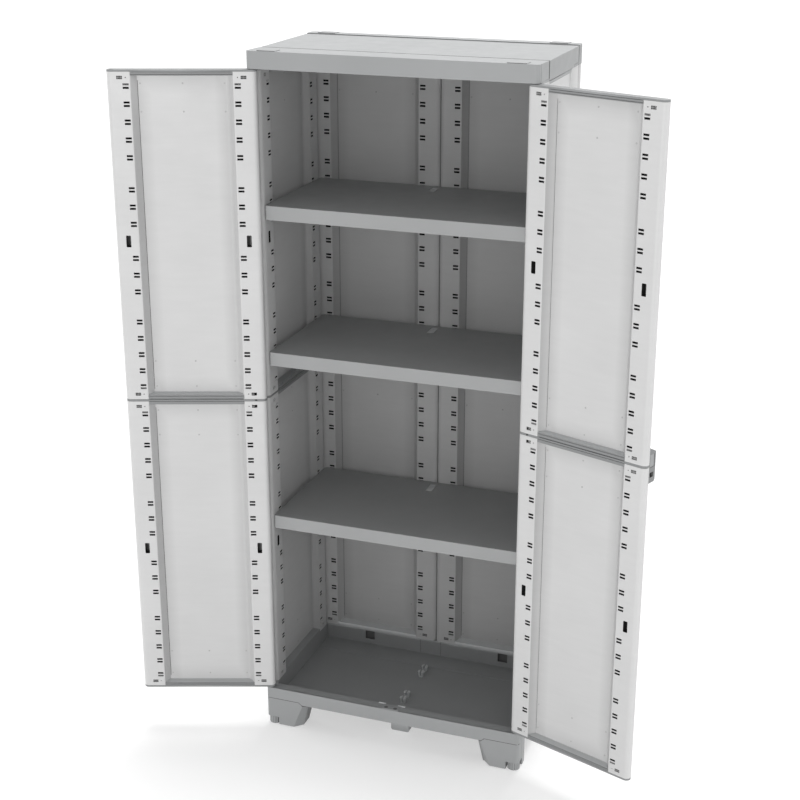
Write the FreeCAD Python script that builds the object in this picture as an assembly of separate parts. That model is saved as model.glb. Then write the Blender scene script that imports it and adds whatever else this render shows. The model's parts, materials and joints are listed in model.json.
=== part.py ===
import FreeCAD, Part
import math
import os

from FreeCAD import Vector

os.makedirs("parts", exist_ok=True)

# A garden storage cabinet in moulded plastic, shown with both doors open.
# Millimetres. X runs across the front, -Y is the front, +Z is up.
# The origin is on the floor at the middle of the footprint, under the centre foot.

# Wall and door panel: a double-wall moulding with two hollow flanges and a thin field between them
panel_width = 334.0
panel_height = 769.0
panel_thickness = 22.4
panel_wall = 2.4
panel_gap = 1.5
edge_flats = 6
flange_face = 53.25
flange_slope = 12.0
field_depth = 15.4
field_skin = 3.0
outer_field_inset = 75.0
outer_field_slope = 4.0

# Slots in the flanges, in close pairs up both sides of every panel
slot_width = 13.0
slot_height = 4.0
slot_spacing = 7.7
slot_column_inset = 42.85
slot_step = 40.0
middle_group_start = 40.0
middle_group_count = 3
end_group_inset = 31.4
end_group_count = 5
finger_slot_length = 27.0
finger_slot_width = 9.5
finger_slot_inset = 28.8

# Rails that close the panels' ends and join one panel to the next
mid_rail_plate = 6.0
end_rail_plate = 4.5
rail_lip = 8.0
rail_lip_root = 15.0
rail_groove_width = 1.6
rail_groove_depth = 2.0
plug_length = 24.0
plug_start_inset = 11.0
plug_end_inset = 46.0
fit = 0.3

# Heights
wall_bottom = 113.2
tray_floor_top = 70.0
rim_top = 104.5
fascia_bottom = 68.5
foot_bottom = 2.0
cap_height = 39.5
cap_lip = 6.0

# Plan
front_overhang = 21.0
back_overhang = 1.8
side_inset = 0.75
back_gap = 2.8
door_clearance = 1.0
base_over_side = 0.5
outer_corner_radius = 9.5

# Cap
cap_over_side = 1.0
cap_over_front = 1.5
cap_front_rail_depth = 82.5
cap_rear_rail_depth = 36.0
cap_joint_gap = 4.0
cap_joint_sink = 5.0
cap_lip_length = 39.0
cap_lip_gap = 1.6
cap_step_from_front = 16.0
cap_clip_width = 44.0
cap_clip_depth = 28.0
cap_clip_height = 1.5
cap_clip_from_side = 27.0
cap_clip_from_edge = 2.5

# Base tray
tray_wall = 3.0
rim_depth = 27.0
rim_end = 20.0
rim_groove_width = 2.0
rim_groove_depth = 3.0
rim_groove_from_front = 3.0
step_line_from_wall = 4.0
step_line_width = 1.6
step_line_depth = 1.2
pocket_width = 26.0
pocket_low = 85.0
pocket_high = 109.0
pocket_depth = 8.0
pocket_from_panel_middle = 19.75
upstand_seams = (-42.0, 15.0)
seam_width = 1.0
seam_depth = 0.8
floor_step_width = 64.8
floor_step = 1.0
rim_tab_width = 19.0
rim_tab_depth = 4.0
rim_tab_height = 2.2
rim_tab_centres = (-27.5, 23.5)

# Feet
foot_width_top = 98.5
foot_width_bottom = 73.5
foot_depth_top = 54.0
foot_depth_bottom = 51.0
foot_facet = 16.0
foot_wall = 3.2
foot_flange_top = 75.8
foot_flange_length = 88.6
foot_flange_slope = 10.3
foot_bevel_width = 11.0
foot_bevel_height = 6.8
centre_foot_width = 48.0
centre_foot_from_front = 76.5
centre_foot_from_back = 84.5
centre_foot_edge = 3.0
snap_pin_radius = 5.5
snap_pin_top = 85.0
snap_pin_slot = 2.4
snap_pins_from_front = (24.5, 53.5)
snap_pins_from_back = (56.5, 27.5)

# Levelling wheels
leveller_inset_x = 16.5
leveller_inset_y = 17.0
leveller_radius = 15.5
leveller_height = 21.5
leveller_ribs = 14
leveller_rib_depth = 1.4
leveller_screw_radius = 4.0
leveller_screw_top = 55.0
leveller_room = 0.6
screw_clearance = 0.08
screw_boss_wall = 4.0
screw_hole_end = 2.0

# Hinges and catches
hinge_pin_radius = 4.0
hinge_clearance = 0.05
pin_shank_half = 3.5
pin_in_rail = 16.0
pin_in_frame = 8.0
pin_hole_end = 2.0
pin_collar_radius = 7.0
pin_collar_room = 0.3
hinge_boss_wall = 4.0
door_bottom_gap = 3.5
doors_open_angle = 160.0
stud_length = 12.0
stud_radius = 4.6
stud_dome = 1.1
keeper_width = 44.0
keeper_depth = 13.0
keeper_thickness = 1.6
keeper_hole_radius = 3.0

# Padlock lugs on the doors' free edges
lug_width = 23.0
lug_set_back = 1.75
lug_reach = 20.2
lug_top_rise = 43.4
lug_top_drop = 16.0
lug_bottom_drop = 41.9
lug_wall = 3.0
lug_slope_wall = 4.5
lug_start_depth = 12.0
lug_corner = 4.0
lug_room = 0.1
lug_hole_depth_centre = 28.0
lug_hole_low = 18.0
lug_hole_width = 14.0
lug_hole_height = 11.0
lug_window_low_depth = 20.0
lug_window_high_depth = 38.0
lug_window_bottom = 6.0
lug_window_top = 23.0
lug_window_sink = 1.2

# Shelves
shelf_lip = 33.5
shelf_skin = 3.0
shelf_wall = 2.5
shelf_side_gap = 0.6
shelf_set_back = 4.0
shelf_below_slot = 1.5
shelf_rib_count = 4
shelf_rib_height = 18.0
shelf_corner = 4.0
shelf_notch_width = 16.0
shelf_notch_depth = 42.0
shelf_notch_from_back = 17.0
shelf_notch_centre = -3.0
clip_width = 12.4
clip_reach = 9.0
clip_height = 13.0
clip_ledge = 3.0
clip_prong_depth = 5.0

# How far a cut runs past the face that it opens, and the turn of a side wall from the back wall
past = 1.0
right_angle = 90.0

# Values worked out from the ones above: the panel
half_thick = panel_thickness / 2
half_panel = panel_width / 2
half_height = panel_height / 2
edge_centre = half_panel - half_thick
flange_inner = half_panel - flange_face
field_half = flange_inner - flange_slope
field_back = field_depth + field_skin
outer_field_half = half_panel - outer_field_inset
outer_lip_half = outer_field_half + outer_field_slope
slot_column = half_panel - slot_column_inset
slot_pair_half = (slot_spacing + slot_height) / 2
end_group_start = half_height - end_group_inset - (end_group_count - 1) * slot_step

# Plan, from the front to the back and from the middle to the side
base_depth = front_overhang + panel_width + back_gap + panel_thickness + back_overhang
base_front = -base_depth / 2
base_back = base_depth / 2
rim_back = base_front + rim_depth
side_front = base_front + front_overhang
side_back = side_front + panel_width
side_middle = (side_front + side_back) / 2
back_inner = side_back + back_gap
side_step_line = side_front + step_line_from_wall
door_inner = side_front - door_clearance
back_half = panel_width + panel_gap / 2
side_outer = back_half - side_inset
side_inner = side_outer - panel_thickness
base_half = side_outer + base_over_side
door_centre_x = (panel_width + panel_gap) / 2
pin_x = back_half - half_thick
pin_y = door_inner - half_thick
free_edge_x = -panel_gap / 2 - half_thick

# Heights
lower_middle = wall_bottom + half_height
joint_height = wall_bottom + panel_height + mid_rail_plate / 2
upper_middle = joint_height + mid_rail_plate / 2 + half_height
wall_top = upper_middle + half_height
cap_rail_bottom = wall_top + cap_lip
cap_top = cap_rail_bottom + cap_height
door_top = wall_top + end_rail_plate
door_bottom = rim_top + door_bottom_gap
foot_top = tray_floor_top - tray_wall

# Cap, from the front to the back
cap_half = side_outer + cap_over_side
cap_front = base_front - cap_over_front
cap_back = base_back
cap_front_joint = cap_front + cap_front_rail_depth
cap_rear_joint = cap_back - cap_rear_rail_depth
cap_lip_joint = cap_rear_joint - cap_lip_length

# Centre foot and levelling wheels
centre_foot_front = base_front + centre_foot_from_front
centre_foot_back = base_back - centre_foot_from_back
snap_pin_places = [centre_foot_front + step for step in snap_pins_from_front]
snap_pin_places += [centre_foot_back - step for step in snap_pins_from_back]
leveller_x = base_half - leveller_inset_x
leveller_y = base_front + leveller_inset_y

# Shelves: each top surface lies just under a slot pair of the walls
shelf_half = side_inner - shelf_side_gap
shelf_front = side_front + shelf_set_back
shelf_back = back_inner - shelf_side_gap
shelf_tops = {
    "shelf_lower": lower_middle + middle_group_start + slot_step - shelf_below_slot,
    "shelf_middle": upper_middle - end_group_start - 2 * slot_step - shelf_below_slot,
    "shelf_upper": upper_middle + middle_group_start + slot_step - shelf_below_slot,
}


def box(x0, x1, y0, y1, z0, z1):
    """A box between two corners, given as low and high values along each axis."""
    return Part.makeBox(x1 - x0, y1 - y0, z1 - z0, Vector(x0, y0, z0))


def prism(points, extrusion):
    """A straight extrusion of the closed polygon through points."""
    wire = Part.makePolygon([Vector(*point) for point in points] + [Vector(*points[0])])
    return Part.Face(wire).extrude(Vector(*extrusion))


def plan_prism(points, z0, z1):
    """An upright prism over a plan outline of x, y points."""
    return prism([(x, y, z0) for x, y in points], (0, 0, z1 - z0))


def frustum(near, far):
    """A flat-faced solid between two outlines whose matching sides are parallel."""
    near = [Vector(*point) for point in near]
    far = [Vector(*point) for point in far]
    outlines = [near, far]
    for first in range(len(near)):
        second = (first + 1) % len(near)
        outlines.append([near[first], near[second], far[second], far[first]])
    shell = Part.makeShell([Part.Face(Part.makePolygon(outline + outline[:1])) for outline in outlines])
    shell.sewShape()
    solid = Part.makeSolid(shell)
    if solid.Volume < 0:
        solid.reverse()
    return solid


def cylinder(x, y, z0, z1, radius):
    """An upright cylinder between two heights."""
    return Part.makeCylinder(radius, z1 - z0, Vector(x, y, z0))


def octagon(x, y, z0, z1, radius):
    """An upright eight-sided bar whose flats lie at radius from its axis."""
    corner = radius / math.cos(math.pi / 8)
    angles = [math.pi * (2 * step + 1) / 8 for step in range(8)]
    points = [(x + corner * math.cos(angle), y + corner * math.sin(angle)) for angle in angles]
    return plan_prism(points, z0, z1)


def square_bar(x, y, z0, z1, half):
    """An upright square bar about an axis."""
    return box(x - half, x + half, y - half, y + half, z0, z1)


def joined(shapes):
    """One solid from touching or overlapping shapes, with its coplanar faces merged."""
    return shapes[0].fuse(shapes[1:]).removeSplitter()


def moved(shape, x, y, z, turn=0.0):
    """A copy turned about its own Z axis by turn degrees and set at x, y, z."""
    copy = shape.copy()
    copy.Placement = FreeCAD.Placement(Vector(x, y, z), FreeCAD.Rotation(Vector(0, 0, 1), turn))
    return copy


def mirrored_x(shape):
    """The shape mirrored from one side of the cabinet to the other."""
    return shape.mirror(Vector(0, 0, 0), Vector(1, 0, 0))


def mirrored_y(shape):
    """The shape mirrored from the front of the cabinet to the back."""
    return shape.mirror(Vector(0, 0, 0), Vector(0, 1, 0))


def side_box(side, inner, outer, y0, y1, z0, z1):
    """A box between two distances from the middle, on the left (-1) or the right (1)."""
    x0, x1 = sorted((side * inner, side * outer))
    return box(x0, x1, y0, y1, z0, z1)


# In a panel's own frame x runs across it, y is the depth from its inner face, and z is up from its
# middle. The inner face looks into the cabinet.

def edge_points(centre_x, centre_y, radius):
    """A half round in flats, bulging towards +x, from the inner face to the outer one."""
    angles = [math.pi * step / edge_flats for step in range(edge_flats + 1)]
    return [(centre_x + radius * math.sin(angle), centre_y - radius * math.cos(angle)) for angle in angles]


def symmetric(points):
    """A closed plan outline from its right-hand half."""
    return points + [(-x, y) for x, y in reversed(points)]


def rail_plate(z0, z1):
    """A slab with the panel's full outline, both edges rounded."""
    return plan_prism(symmetric(edge_points(edge_centre, half_thick, half_thick)), z0, z1)


def flange_cavity():
    """The hollow inside the right-hand flange, open at both ends."""
    low = panel_wall
    high = panel_thickness - panel_wall
    wall_along_x = panel_wall * math.hypot(field_depth, flange_slope) / field_depth
    near_x = flange_inner + wall_along_x - flange_slope * low / field_depth
    far_x = flange_inner + wall_along_x - flange_slope * high / field_depth
    edge_radius = half_thick - panel_wall
    chord_x = edge_centre + edge_radius * math.cos(math.radians(30))
    chord_y = edge_radius * math.sin(math.radians(30))
    outline = [(near_x, low), (edge_centre, low), (chord_x, half_thick - chord_y),
               (chord_x, half_thick + chord_y), (edge_centre, high), (far_x, high)]
    return plan_prism(outline, -half_height, half_height)


def slot_pair_heights():
    """Heights of the slot pairs above and below the panel's middle."""
    middle = [middle_group_start + slot_step * step for step in range(middle_group_count)]
    end = [end_group_start + slot_step * step for step in range(end_group_count)]
    return [sign * height for sign in (-1, 1) for height in middle + end]


def make_panel():
    """One double-wall panel. Each close pair of slots is cut as one window."""
    half_plan = [(field_half, field_depth), (flange_inner, 0)]
    half_plan += edge_points(edge_centre, half_thick, half_thick)
    half_plan += [(outer_lip_half, panel_thickness), (outer_field_half, field_back)]
    slab = plan_prism(symmetric(half_plan), -half_height, half_height)
    cavity = flange_cavity()
    cuts = [cavity, mirrored_x(cavity)]
    finger_x = half_panel - finger_slot_inset
    for side in (-1, 1):
        for height in slot_pair_heights():
            cuts.append(side_box(side, slot_column - slot_width / 2, slot_column + slot_width / 2,
                                 -past, panel_wall + past, height - slot_pair_half, height + slot_pair_half))
        cuts.append(side_box(side, finger_x - finger_slot_width / 2, finger_x + finger_slot_width / 2,
                             -past, panel_wall + past, -finger_slot_length / 2, finger_slot_length / 2))
    return slab.cut(cuts)


def plugs(base, direction):
    """Two plugs that fit the panel's flange cavities, standing on height base."""
    low = panel_wall + fit
    high = panel_thickness - panel_wall - fit
    z0, z1 = sorted((base, base + direction * plug_length))
    return [side_box(side, half_panel - plug_end_inset, half_panel - plug_start_inset, low, high, z0, z1)
            for side in (-1, 1)]


def field_lip(base, direction):
    """The sloped bar that covers the end of a panel's field, on the inner and the outer side."""
    reach = base + direction * rail_lip
    root = base + direction * rail_lip_root

    def inner_outline(half, end, depth):
        return [(-half, depth, base), (half, depth, base), (half, depth, end), (-half, depth, end)]

    inner = frustum(inner_outline(flange_inner - fit, reach, 0),
                    inner_outline(field_half - fit, root, field_depth))
    outer = plan_prism(symmetric([(outer_field_half - fit, field_back),
                                  (outer_lip_half - fit, panel_thickness)]), *sorted((base, reach)))
    return [inner, outer]


def make_mid_rail():
    """The rail between a lower and an upper panel, centred on its own height."""
    half_plate = mid_rail_plate / 2
    shapes = [rail_plate(-half_plate, half_plate)]
    for direction in (-1, 1):
        shapes += field_lip(direction * half_plate, direction)
        shapes += plugs(direction * half_plate, direction)
    groove = box(-flange_inner, flange_inner, -past, rail_groove_depth,
                 -rail_groove_width / 2, rail_groove_width / 2)
    return joined(shapes).cut(groove)


def make_end_rail(direction, plate):
    """A door's top or bottom rail. Its panel side is at z = 0 and the plate stands beyond it."""
    z0, z1 = sorted((0, direction * plate))
    shapes = [rail_plate(z0, z1)] + field_lip(0, -direction) + plugs(0, -direction)
    inside = -direction * plug_length
    holes = [square_bar(side * edge_centre, half_thick, min(z0, inside) - past, max(z1, inside) + past,
                        pin_shank_half + hinge_clearance) for side in (-1, 1)]
    return joined(shapes).cut(holes)


def wall_end(base, direction):
    """What a base or cap needs to hold one wall panel's end: two plugs and the sloped bar."""
    return plugs(base, direction) + field_lip(base, direction)


# Places of the wall panels: x, y and turn of the panel's frame
wall_places = {
    "side_left": (-side_inner, side_middle, right_angle),
    "side_right": (side_inner, side_middle, -right_angle),
    "back_left": (-door_centre_x, back_inner, 0),
    "back_right": (door_centre_x, back_inner, 0),
}


def rounded_plan(half, front, back, z0, z1, ends=(-1, 1)):
    """An upright block with the cabinet's plan, rounded at its front (-1) and rear (1) corners."""
    block = box(-half, half, front, back, z0, z1)
    middle = (front + back) / 2
    corners = [edge for edge in block.Edges
               if edge.BoundBox.XLength < 1e-6 and edge.BoundBox.YLength < 1e-6
               and math.copysign(1, edge.BoundBox.YMin - middle) in ends]
    return block.makeFillet(outer_corner_radius, corners)


def foot_outline(z, width, depth, inset):
    """The foot's plan at one height, for the front right corner, set in by a wall."""
    x0 = base_half - width + inset
    y0 = base_front + inset
    y1 = base_front + depth - inset
    return [(base_half - inset, y0, z), (x0, y0, z), (x0 - foot_facet, y0 + foot_facet, z),
            (x0 - foot_facet, y1, z), (base_half - inset, y1, z)]


def foot_body(inset):
    """The tapered foot, or the room inside its walls, with its lower inner edge bevelled."""
    low = foot_bottom + inset
    body = frustum(foot_outline(low, foot_width_bottom, foot_depth_bottom, inset),
                   foot_outline(foot_top, foot_width_top, foot_depth_top, inset))
    edge = base_half - foot_width_bottom - foot_facet + inset
    bevel_end = edge + foot_bevel_width
    outside = edge - foot_width_top
    high = low + foot_bevel_height * (bevel_end - outside) / foot_bevel_width
    outline = [(outside, low - past), (bevel_end, low - past), (bevel_end, low), (outside, high)]
    bevel = prism([(x, base_front - past, z) for x, z in outline], (0, foot_depth_top + 2 * past, 0))
    return body.cut(bevel)


def foot_flange():
    """The part of the foot's outer wall that stands up in front of the tray, for the front right corner."""
    ring = rounded_plan(base_half, base_front, base_back, foot_top, foot_flange_top)
    ring = ring.cut(box(-base_half + tray_wall, base_half - tray_wall, base_front + tray_wall,
                        base_back - tray_wall, foot_top - past, foot_flange_top + past))
    high_x = base_half - foot_flange_length
    low_x = high_x - foot_flange_slope
    region = prism([(low_x, base_front - past, foot_top), (high_x, base_front - past, foot_flange_top),
                    (base_half + past, base_front - past, foot_flange_top),
                    (base_half + past, base_front - past, foot_top)], (0, foot_depth_top + past, 0))
    return ring.common(region)


def make_foot():
    """The front right corner foot: a tapered shell with a notch for its levelling wheel."""
    outer = foot_body(0).common(rounded_plan(base_half, base_front, base_back, foot_bottom, foot_top))
    notch_x = leveller_x - leveller_radius - leveller_room
    notch_y = leveller_y + leveller_radius + leveller_room
    notch_top = leveller_height + leveller_room
    notch_walls = box(notch_x - foot_wall, base_half, base_front, notch_y + foot_wall,
                      0, notch_top + foot_wall)
    boss = square_bar(leveller_x, leveller_y, 0, foot_top + past, leveller_screw_radius + screw_boss_wall)
    hollow = foot_body(foot_wall).cut([notch_walls, boss])
    notch = box(notch_x, base_half + past, base_front - past, notch_y, 0, notch_top)
    bore = octagon(leveller_x, leveller_y, 0, leveller_screw_top + screw_hole_end,
                   leveller_screw_radius + screw_clearance)
    foot = outer.cut([hollow, notch, bore])
    step = box(base_half - step_line_depth, base_half + past, side_step_line - step_line_width / 2,
               side_step_line + step_line_width / 2, 0, foot_flange_top + past)
    return joined([foot, foot_flange()]).cut(step)


def make_leveller():
    """The front right levelling wheel: a ribbed wheel with its screw above it."""
    points = []
    steps = 2 * leveller_ribs
    for step in range(steps):
        angle = 2 * math.pi * step / steps
        radius = leveller_radius - (leveller_rib_depth if step % 2 else 0)
        points.append((leveller_x + radius * math.cos(angle), leveller_y + radius * math.sin(angle)))
    wheel = plan_prism(points, 0, leveller_height)
    screw = cylinder(leveller_x, leveller_y, leveller_height, leveller_screw_top, leveller_screw_radius)
    return joined([wheel, screw])


def make_centre_foot():
    """The long foot under the tray's middle, with the snap pins that hold it through the floor."""
    half = centre_foot_width / 2
    edge = centre_foot_edge
    outline = [(-half, edge), (-half, foot_top), (half, foot_top), (half, edge), (half - edge, 0),
               (-half + edge, 0)]
    body = prism([(x, centre_foot_front, z) for x, z in outline],
                 (0, centre_foot_back - centre_foot_front, 0))
    hollow = box(-half + foot_wall, half - foot_wall, centre_foot_front + foot_wall,
                 centre_foot_back - foot_wall, foot_wall + edge, foot_top - foot_wall)
    pins = []
    slots = []
    for place in snap_pin_places:
        pins.append(octagon(0, place, foot_top, snap_pin_top, snap_pin_radius))
        slots.append(box(-snap_pin_slot / 2, snap_pin_slot / 2, place - snap_pin_radius - past,
                         place + snap_pin_radius + past, tray_floor_top + 2 * floor_step,
                         snap_pin_top + past))
    return joined([body] + pins).cut([hollow] + slots)


def tray_hollows():
    """The rooms under the rim and inside the side and back upstands, open below."""
    low = fascia_bottom - past
    upstand_top = wall_bottom - tray_wall
    hollows = [
        box(-base_half + rim_end, base_half - rim_end, base_front + tray_wall, rim_back - tray_wall,
            low, rim_top - tray_wall),
        box(-side_inner, side_inner, back_inner + tray_wall, base_back - tray_wall, low, upstand_top),
    ]
    hollows += [side_box(side, side_inner + tray_wall, base_half - tray_wall, side_front + tray_wall,
                         base_back - tray_wall, low, upstand_top) for side in (-1, 1)]
    return hollows


def tray_pockets(wall):
    """The two small pockets in the back upstand, or with a wall the shells behind them."""
    centres = [side * (door_centre_x + pocket_from_panel_middle) for side in (-1, 1)]
    front = back_inner + past if wall else back_inner - past
    half = pocket_width / 2 + wall
    return [box(centre - half, centre + half, front, back_inner + pocket_depth + wall,
                pocket_low - wall, pocket_high + wall / 2) for centre in centres]


def make_base_tray():
    """The tray: floor, front rim, and upstands that hold the wall panels' lower ends."""
    outside = rounded_plan(base_half, base_front, base_back, fascia_bottom, rim_top)
    walls = rounded_plan(base_half, side_front, base_back, fascia_bottom, wall_bottom, (1,))
    inside = box(-side_inner, side_inner, rim_back, back_inner, tray_floor_top, wall_bottom + past)
    front_gap = box(-side_inner, side_inner, side_front - past, rim_back + past, rim_top, wall_bottom + past)
    tray = joined([outside, walls]).cut([inside, front_gap] + tray_hollows())
    slab = box(-side_inner, side_inner, rim_back, back_inner, foot_top, fascia_bottom)
    back_step = box(-side_inner, side_inner, back_inner - floor_step_width, back_inner,
                    tray_floor_top, tray_floor_top + floor_step)
    tabs = [box(centre - rim_tab_width / 2, centre + rim_tab_width / 2, rim_back - rim_tab_depth,
                rim_back, rim_top - past, rim_top + rim_tab_height) for centre in rim_tab_centres]
    hinge_bosses = [square_bar(side * pin_x, pin_y, fascia_bottom, rim_top - past,
                               hinge_pin_radius + hinge_boss_wall) for side in (-1, 1)]
    holders = [moved(shape, x, y, wall_bottom, turn)
               for x, y, turn in wall_places.values() for shape in wall_end(0, 1)]
    tray = joined([tray, slab, back_step] + tabs + hinge_bosses + tray_pockets(tray_wall) + holders)
    cuts = tray_pockets(0)
    cuts += [box(seam - seam_width / 2, seam + seam_width / 2, back_inner - past, back_inner + seam_depth,
                 tray_floor_top + floor_step, wall_bottom - past) for seam in upstand_seams]
    groove_front = base_front + rim_groove_from_front
    cuts.append(box(-side_inner, side_inner, groove_front, groove_front + rim_groove_width,
                    rim_top - rim_groove_depth, rim_top + past))
    cuts += [cylinder(side * pin_x, pin_y, rim_top - pin_in_frame - pin_hole_end, rim_top + past,
                      hinge_pin_radius + hinge_clearance) for side in (-1, 1)]
    cuts += [octagon(0, place, foot_top - past, tray_floor_top + floor_step + past, snap_pin_radius + fit)
             for place in snap_pin_places]
    cuts += [side_box(side, base_half - step_line_depth, base_half + past,
                      side_step_line - step_line_width / 2, side_step_line + step_line_width / 2,
                      0, wall_bottom + past) for side in (-1, 1)]
    flange = foot_flange()
    cuts += [flange, mirrored_x(flange), mirrored_y(flange), mirrored_y(mirrored_x(flange))]
    return tray.cut(cuts)


def make_door_keeper():
    """The plate in the rim that the doors' lower studs snap into."""
    y0 = pin_y - keeper_depth / 2
    plate = box(-keeper_width / 2, keeper_width / 2, y0, y0 + keeper_depth, rim_top,
                rim_top + keeper_thickness)
    holes = [octagon(side * free_edge_x, pin_y, rim_top - past, rim_top + keeper_thickness + past,
                     keeper_hole_radius) for side in (-1, 1)]
    return plate.cut(holes)


def joint_ledge(y0, y1):
    """The sunk strip of a cap rail that closes the groove between it and the cap's panel."""
    return box(-cap_half + cap_joint_sink, cap_half - cap_joint_sink, y0, y1,
               cap_rail_bottom, cap_top - cap_joint_sink)


def make_cap_front_rail():
    """The cap's front rail, hollow below, with a boss for each door's upper pin."""
    back = cap_front_joint - cap_joint_gap / 2
    block = rounded_plan(cap_half, cap_front, back, cap_rail_bottom, cap_top, (-1,))
    end = 2 * outer_corner_radius + hinge_boss_wall
    hollow = box(-cap_half + end, cap_half - end, cap_front + tray_wall, back - tray_wall,
                 cap_rail_bottom - past, cap_top - tray_wall)
    bores = [cylinder(side * pin_x, pin_y, cap_rail_bottom - past,
                      cap_rail_bottom + pin_in_frame + pin_hole_end, hinge_pin_radius + hinge_clearance)
             for side in (-1, 1)]
    step_front = cap_front + cap_step_from_front
    steps = [side_box(side, cap_half - step_line_depth, cap_half + past, step_front,
                      step_front + step_line_width, cap_rail_bottom - past, cap_top + past)
             for side in (-1, 1)]
    ledge = joint_ledge(back - past, back + cap_joint_gap - fit)
    return joined([block.cut([hollow] + bores + steps), ledge])


def cap_side_lips(y0, y1):
    """The lips of a cap piece that close the gap above both side walls."""
    return [side_box(side, side_inner, cap_half, y0, y1, wall_top, cap_rail_bottom) for side in (-1, 1)]


def make_cap_panel():
    """The cap's wide middle panel, with side beams over the side walls."""
    front = cap_front_joint + cap_joint_gap / 2
    back = cap_rear_joint - cap_joint_gap / 2
    block = box(-cap_half, cap_half, front, back, cap_rail_bottom, cap_top)
    hollow = box(-side_inner + tray_wall, side_inner - tray_wall, front + tray_wall, back - tray_wall,
                 cap_rail_bottom - past, cap_top - tray_wall)
    shapes = [block.cut(hollow)] + cap_side_lips(side_front, cap_lip_joint - cap_lip_gap / 2)
    for name in ("side_left", "side_right"):
        x, y, turn = wall_places[name]
        shapes += [moved(shape, x, y, wall_top, turn) for shape in field_lip(0, -1)]
        plug = plugs(0, -1)[0 if name == "side_left" else 1]
        shapes.append(moved(plug, x, y, wall_top, turn))
    return joined(shapes)


def make_cap_rear_rail():
    """The cap's rear rail over the back walls."""
    front = cap_rear_joint + cap_joint_gap / 2
    block = rounded_plan(cap_half, front, cap_back, cap_rail_bottom, cap_top, (1,))
    base = rounded_plan(cap_half, side_back, cap_back, wall_top, cap_rail_bottom, (1,))
    hollow = box(-side_inner, side_inner, side_back, cap_back - tray_wall,
                 cap_rail_bottom + tray_wall, cap_top - tray_wall)
    ledge = joint_ledge(front - cap_joint_gap + fit, front + past)
    shapes = [block.cut(hollow), base, ledge] + cap_side_lips(cap_lip_joint + cap_lip_gap / 2, side_back)
    for name in ("back_left", "back_right"):
        x, y, turn = wall_places[name]
        shapes += [moved(shape, x, y, wall_top, turn) for shape in wall_end(0, -1)]
    for name in ("side_left", "side_right"):
        x, y, turn = wall_places[name]
        plug = plugs(0, -1)[1 if name == "side_left" else 0]
        shapes.append(moved(plug, x, y, wall_top, turn))
    return joined(shapes)


def make_cap_clips():
    """The four flat clips on top of the cap."""
    outer = cap_half - cap_clip_from_side
    front = cap_front + cap_clip_from_edge
    rear = cap_back - cap_clip_from_edge - cap_clip_depth
    return Part.makeCompound([side_box(side, outer - cap_clip_width, outer, y0, y0 + cap_clip_depth,
                                       cap_top, cap_top + cap_clip_height)
                              for y0 in (front, rear) for side in (-1, 1)])


def make_shelf(top):
    """A shelf: a thin deck with a deep lip all round and ribs below."""
    low = top - shelf_lip

    def rounded_block(wall, z0, z1):
        block = box(-shelf_half + wall, shelf_half - wall, shelf_front + wall, shelf_back - wall, z0, z1)
        upright = [edge for edge in block.Edges if abs(edge.BoundBox.ZLength - (z1 - z0)) < 1e-6]
        return block.makeChamfer(shelf_corner, upright)

    spacing = 2 * shelf_half / (shelf_rib_count + 1)
    rib_places = [-shelf_half + number * spacing for number in range(1, shelf_rib_count + 1)]
    ribs = [box(x - shelf_wall / 2, x + shelf_wall / 2, shelf_front, shelf_back,
                top - shelf_rib_height, top - shelf_skin) for x in rib_places]
    hollow = rounded_block(shelf_wall, low - past, top - shelf_skin).cut(ribs)
    notch_back = shelf_back - shelf_notch_from_back
    notch = box(shelf_notch_centre - shelf_notch_width / 2, shelf_notch_centre + shelf_notch_width / 2,
                notch_back - shelf_notch_depth, notch_back, low - past, top + past)
    return rounded_block(0, low, top).cut([hollow, notch])


def make_shelf_clips():
    """The clips under the shelves' ends, four to a shelf, hooked into the slot pairs."""
    clips = []
    prong_half = slot_pair_half - fit
    for top in shelf_tops.values():
        seat = top - shelf_lip
        pair = top + shelf_below_slot - slot_step
        for column in (-1, 1):
            y0 = side_middle + column * slot_column - clip_width / 2
            outline = [(side_inner, seat), (side_inner - clip_reach, seat),
                       (side_inner - clip_reach, seat - clip_ledge), (side_inner, seat - clip_height)]
            clip = prism([(x, y0, z) for x, z in outline], (0, clip_width, 0))
            prong = box(side_inner - past, side_inner + clip_prong_depth, y0, y0 + clip_width,
                        pair - prong_half, min(pair + prong_half, seat))
            clip = joined([clip, prong])
            clips += [clip, mirrored_x(clip)]
    return Part.makeCompound(clips)


# The left door is built closed, in the cabinet's frame, then swung open about its pin.

def door_place(shape, height):
    """A panel-frame shape set in the closed left door."""
    return moved(shape, -door_centre_x, door_inner, height, 180)


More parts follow.
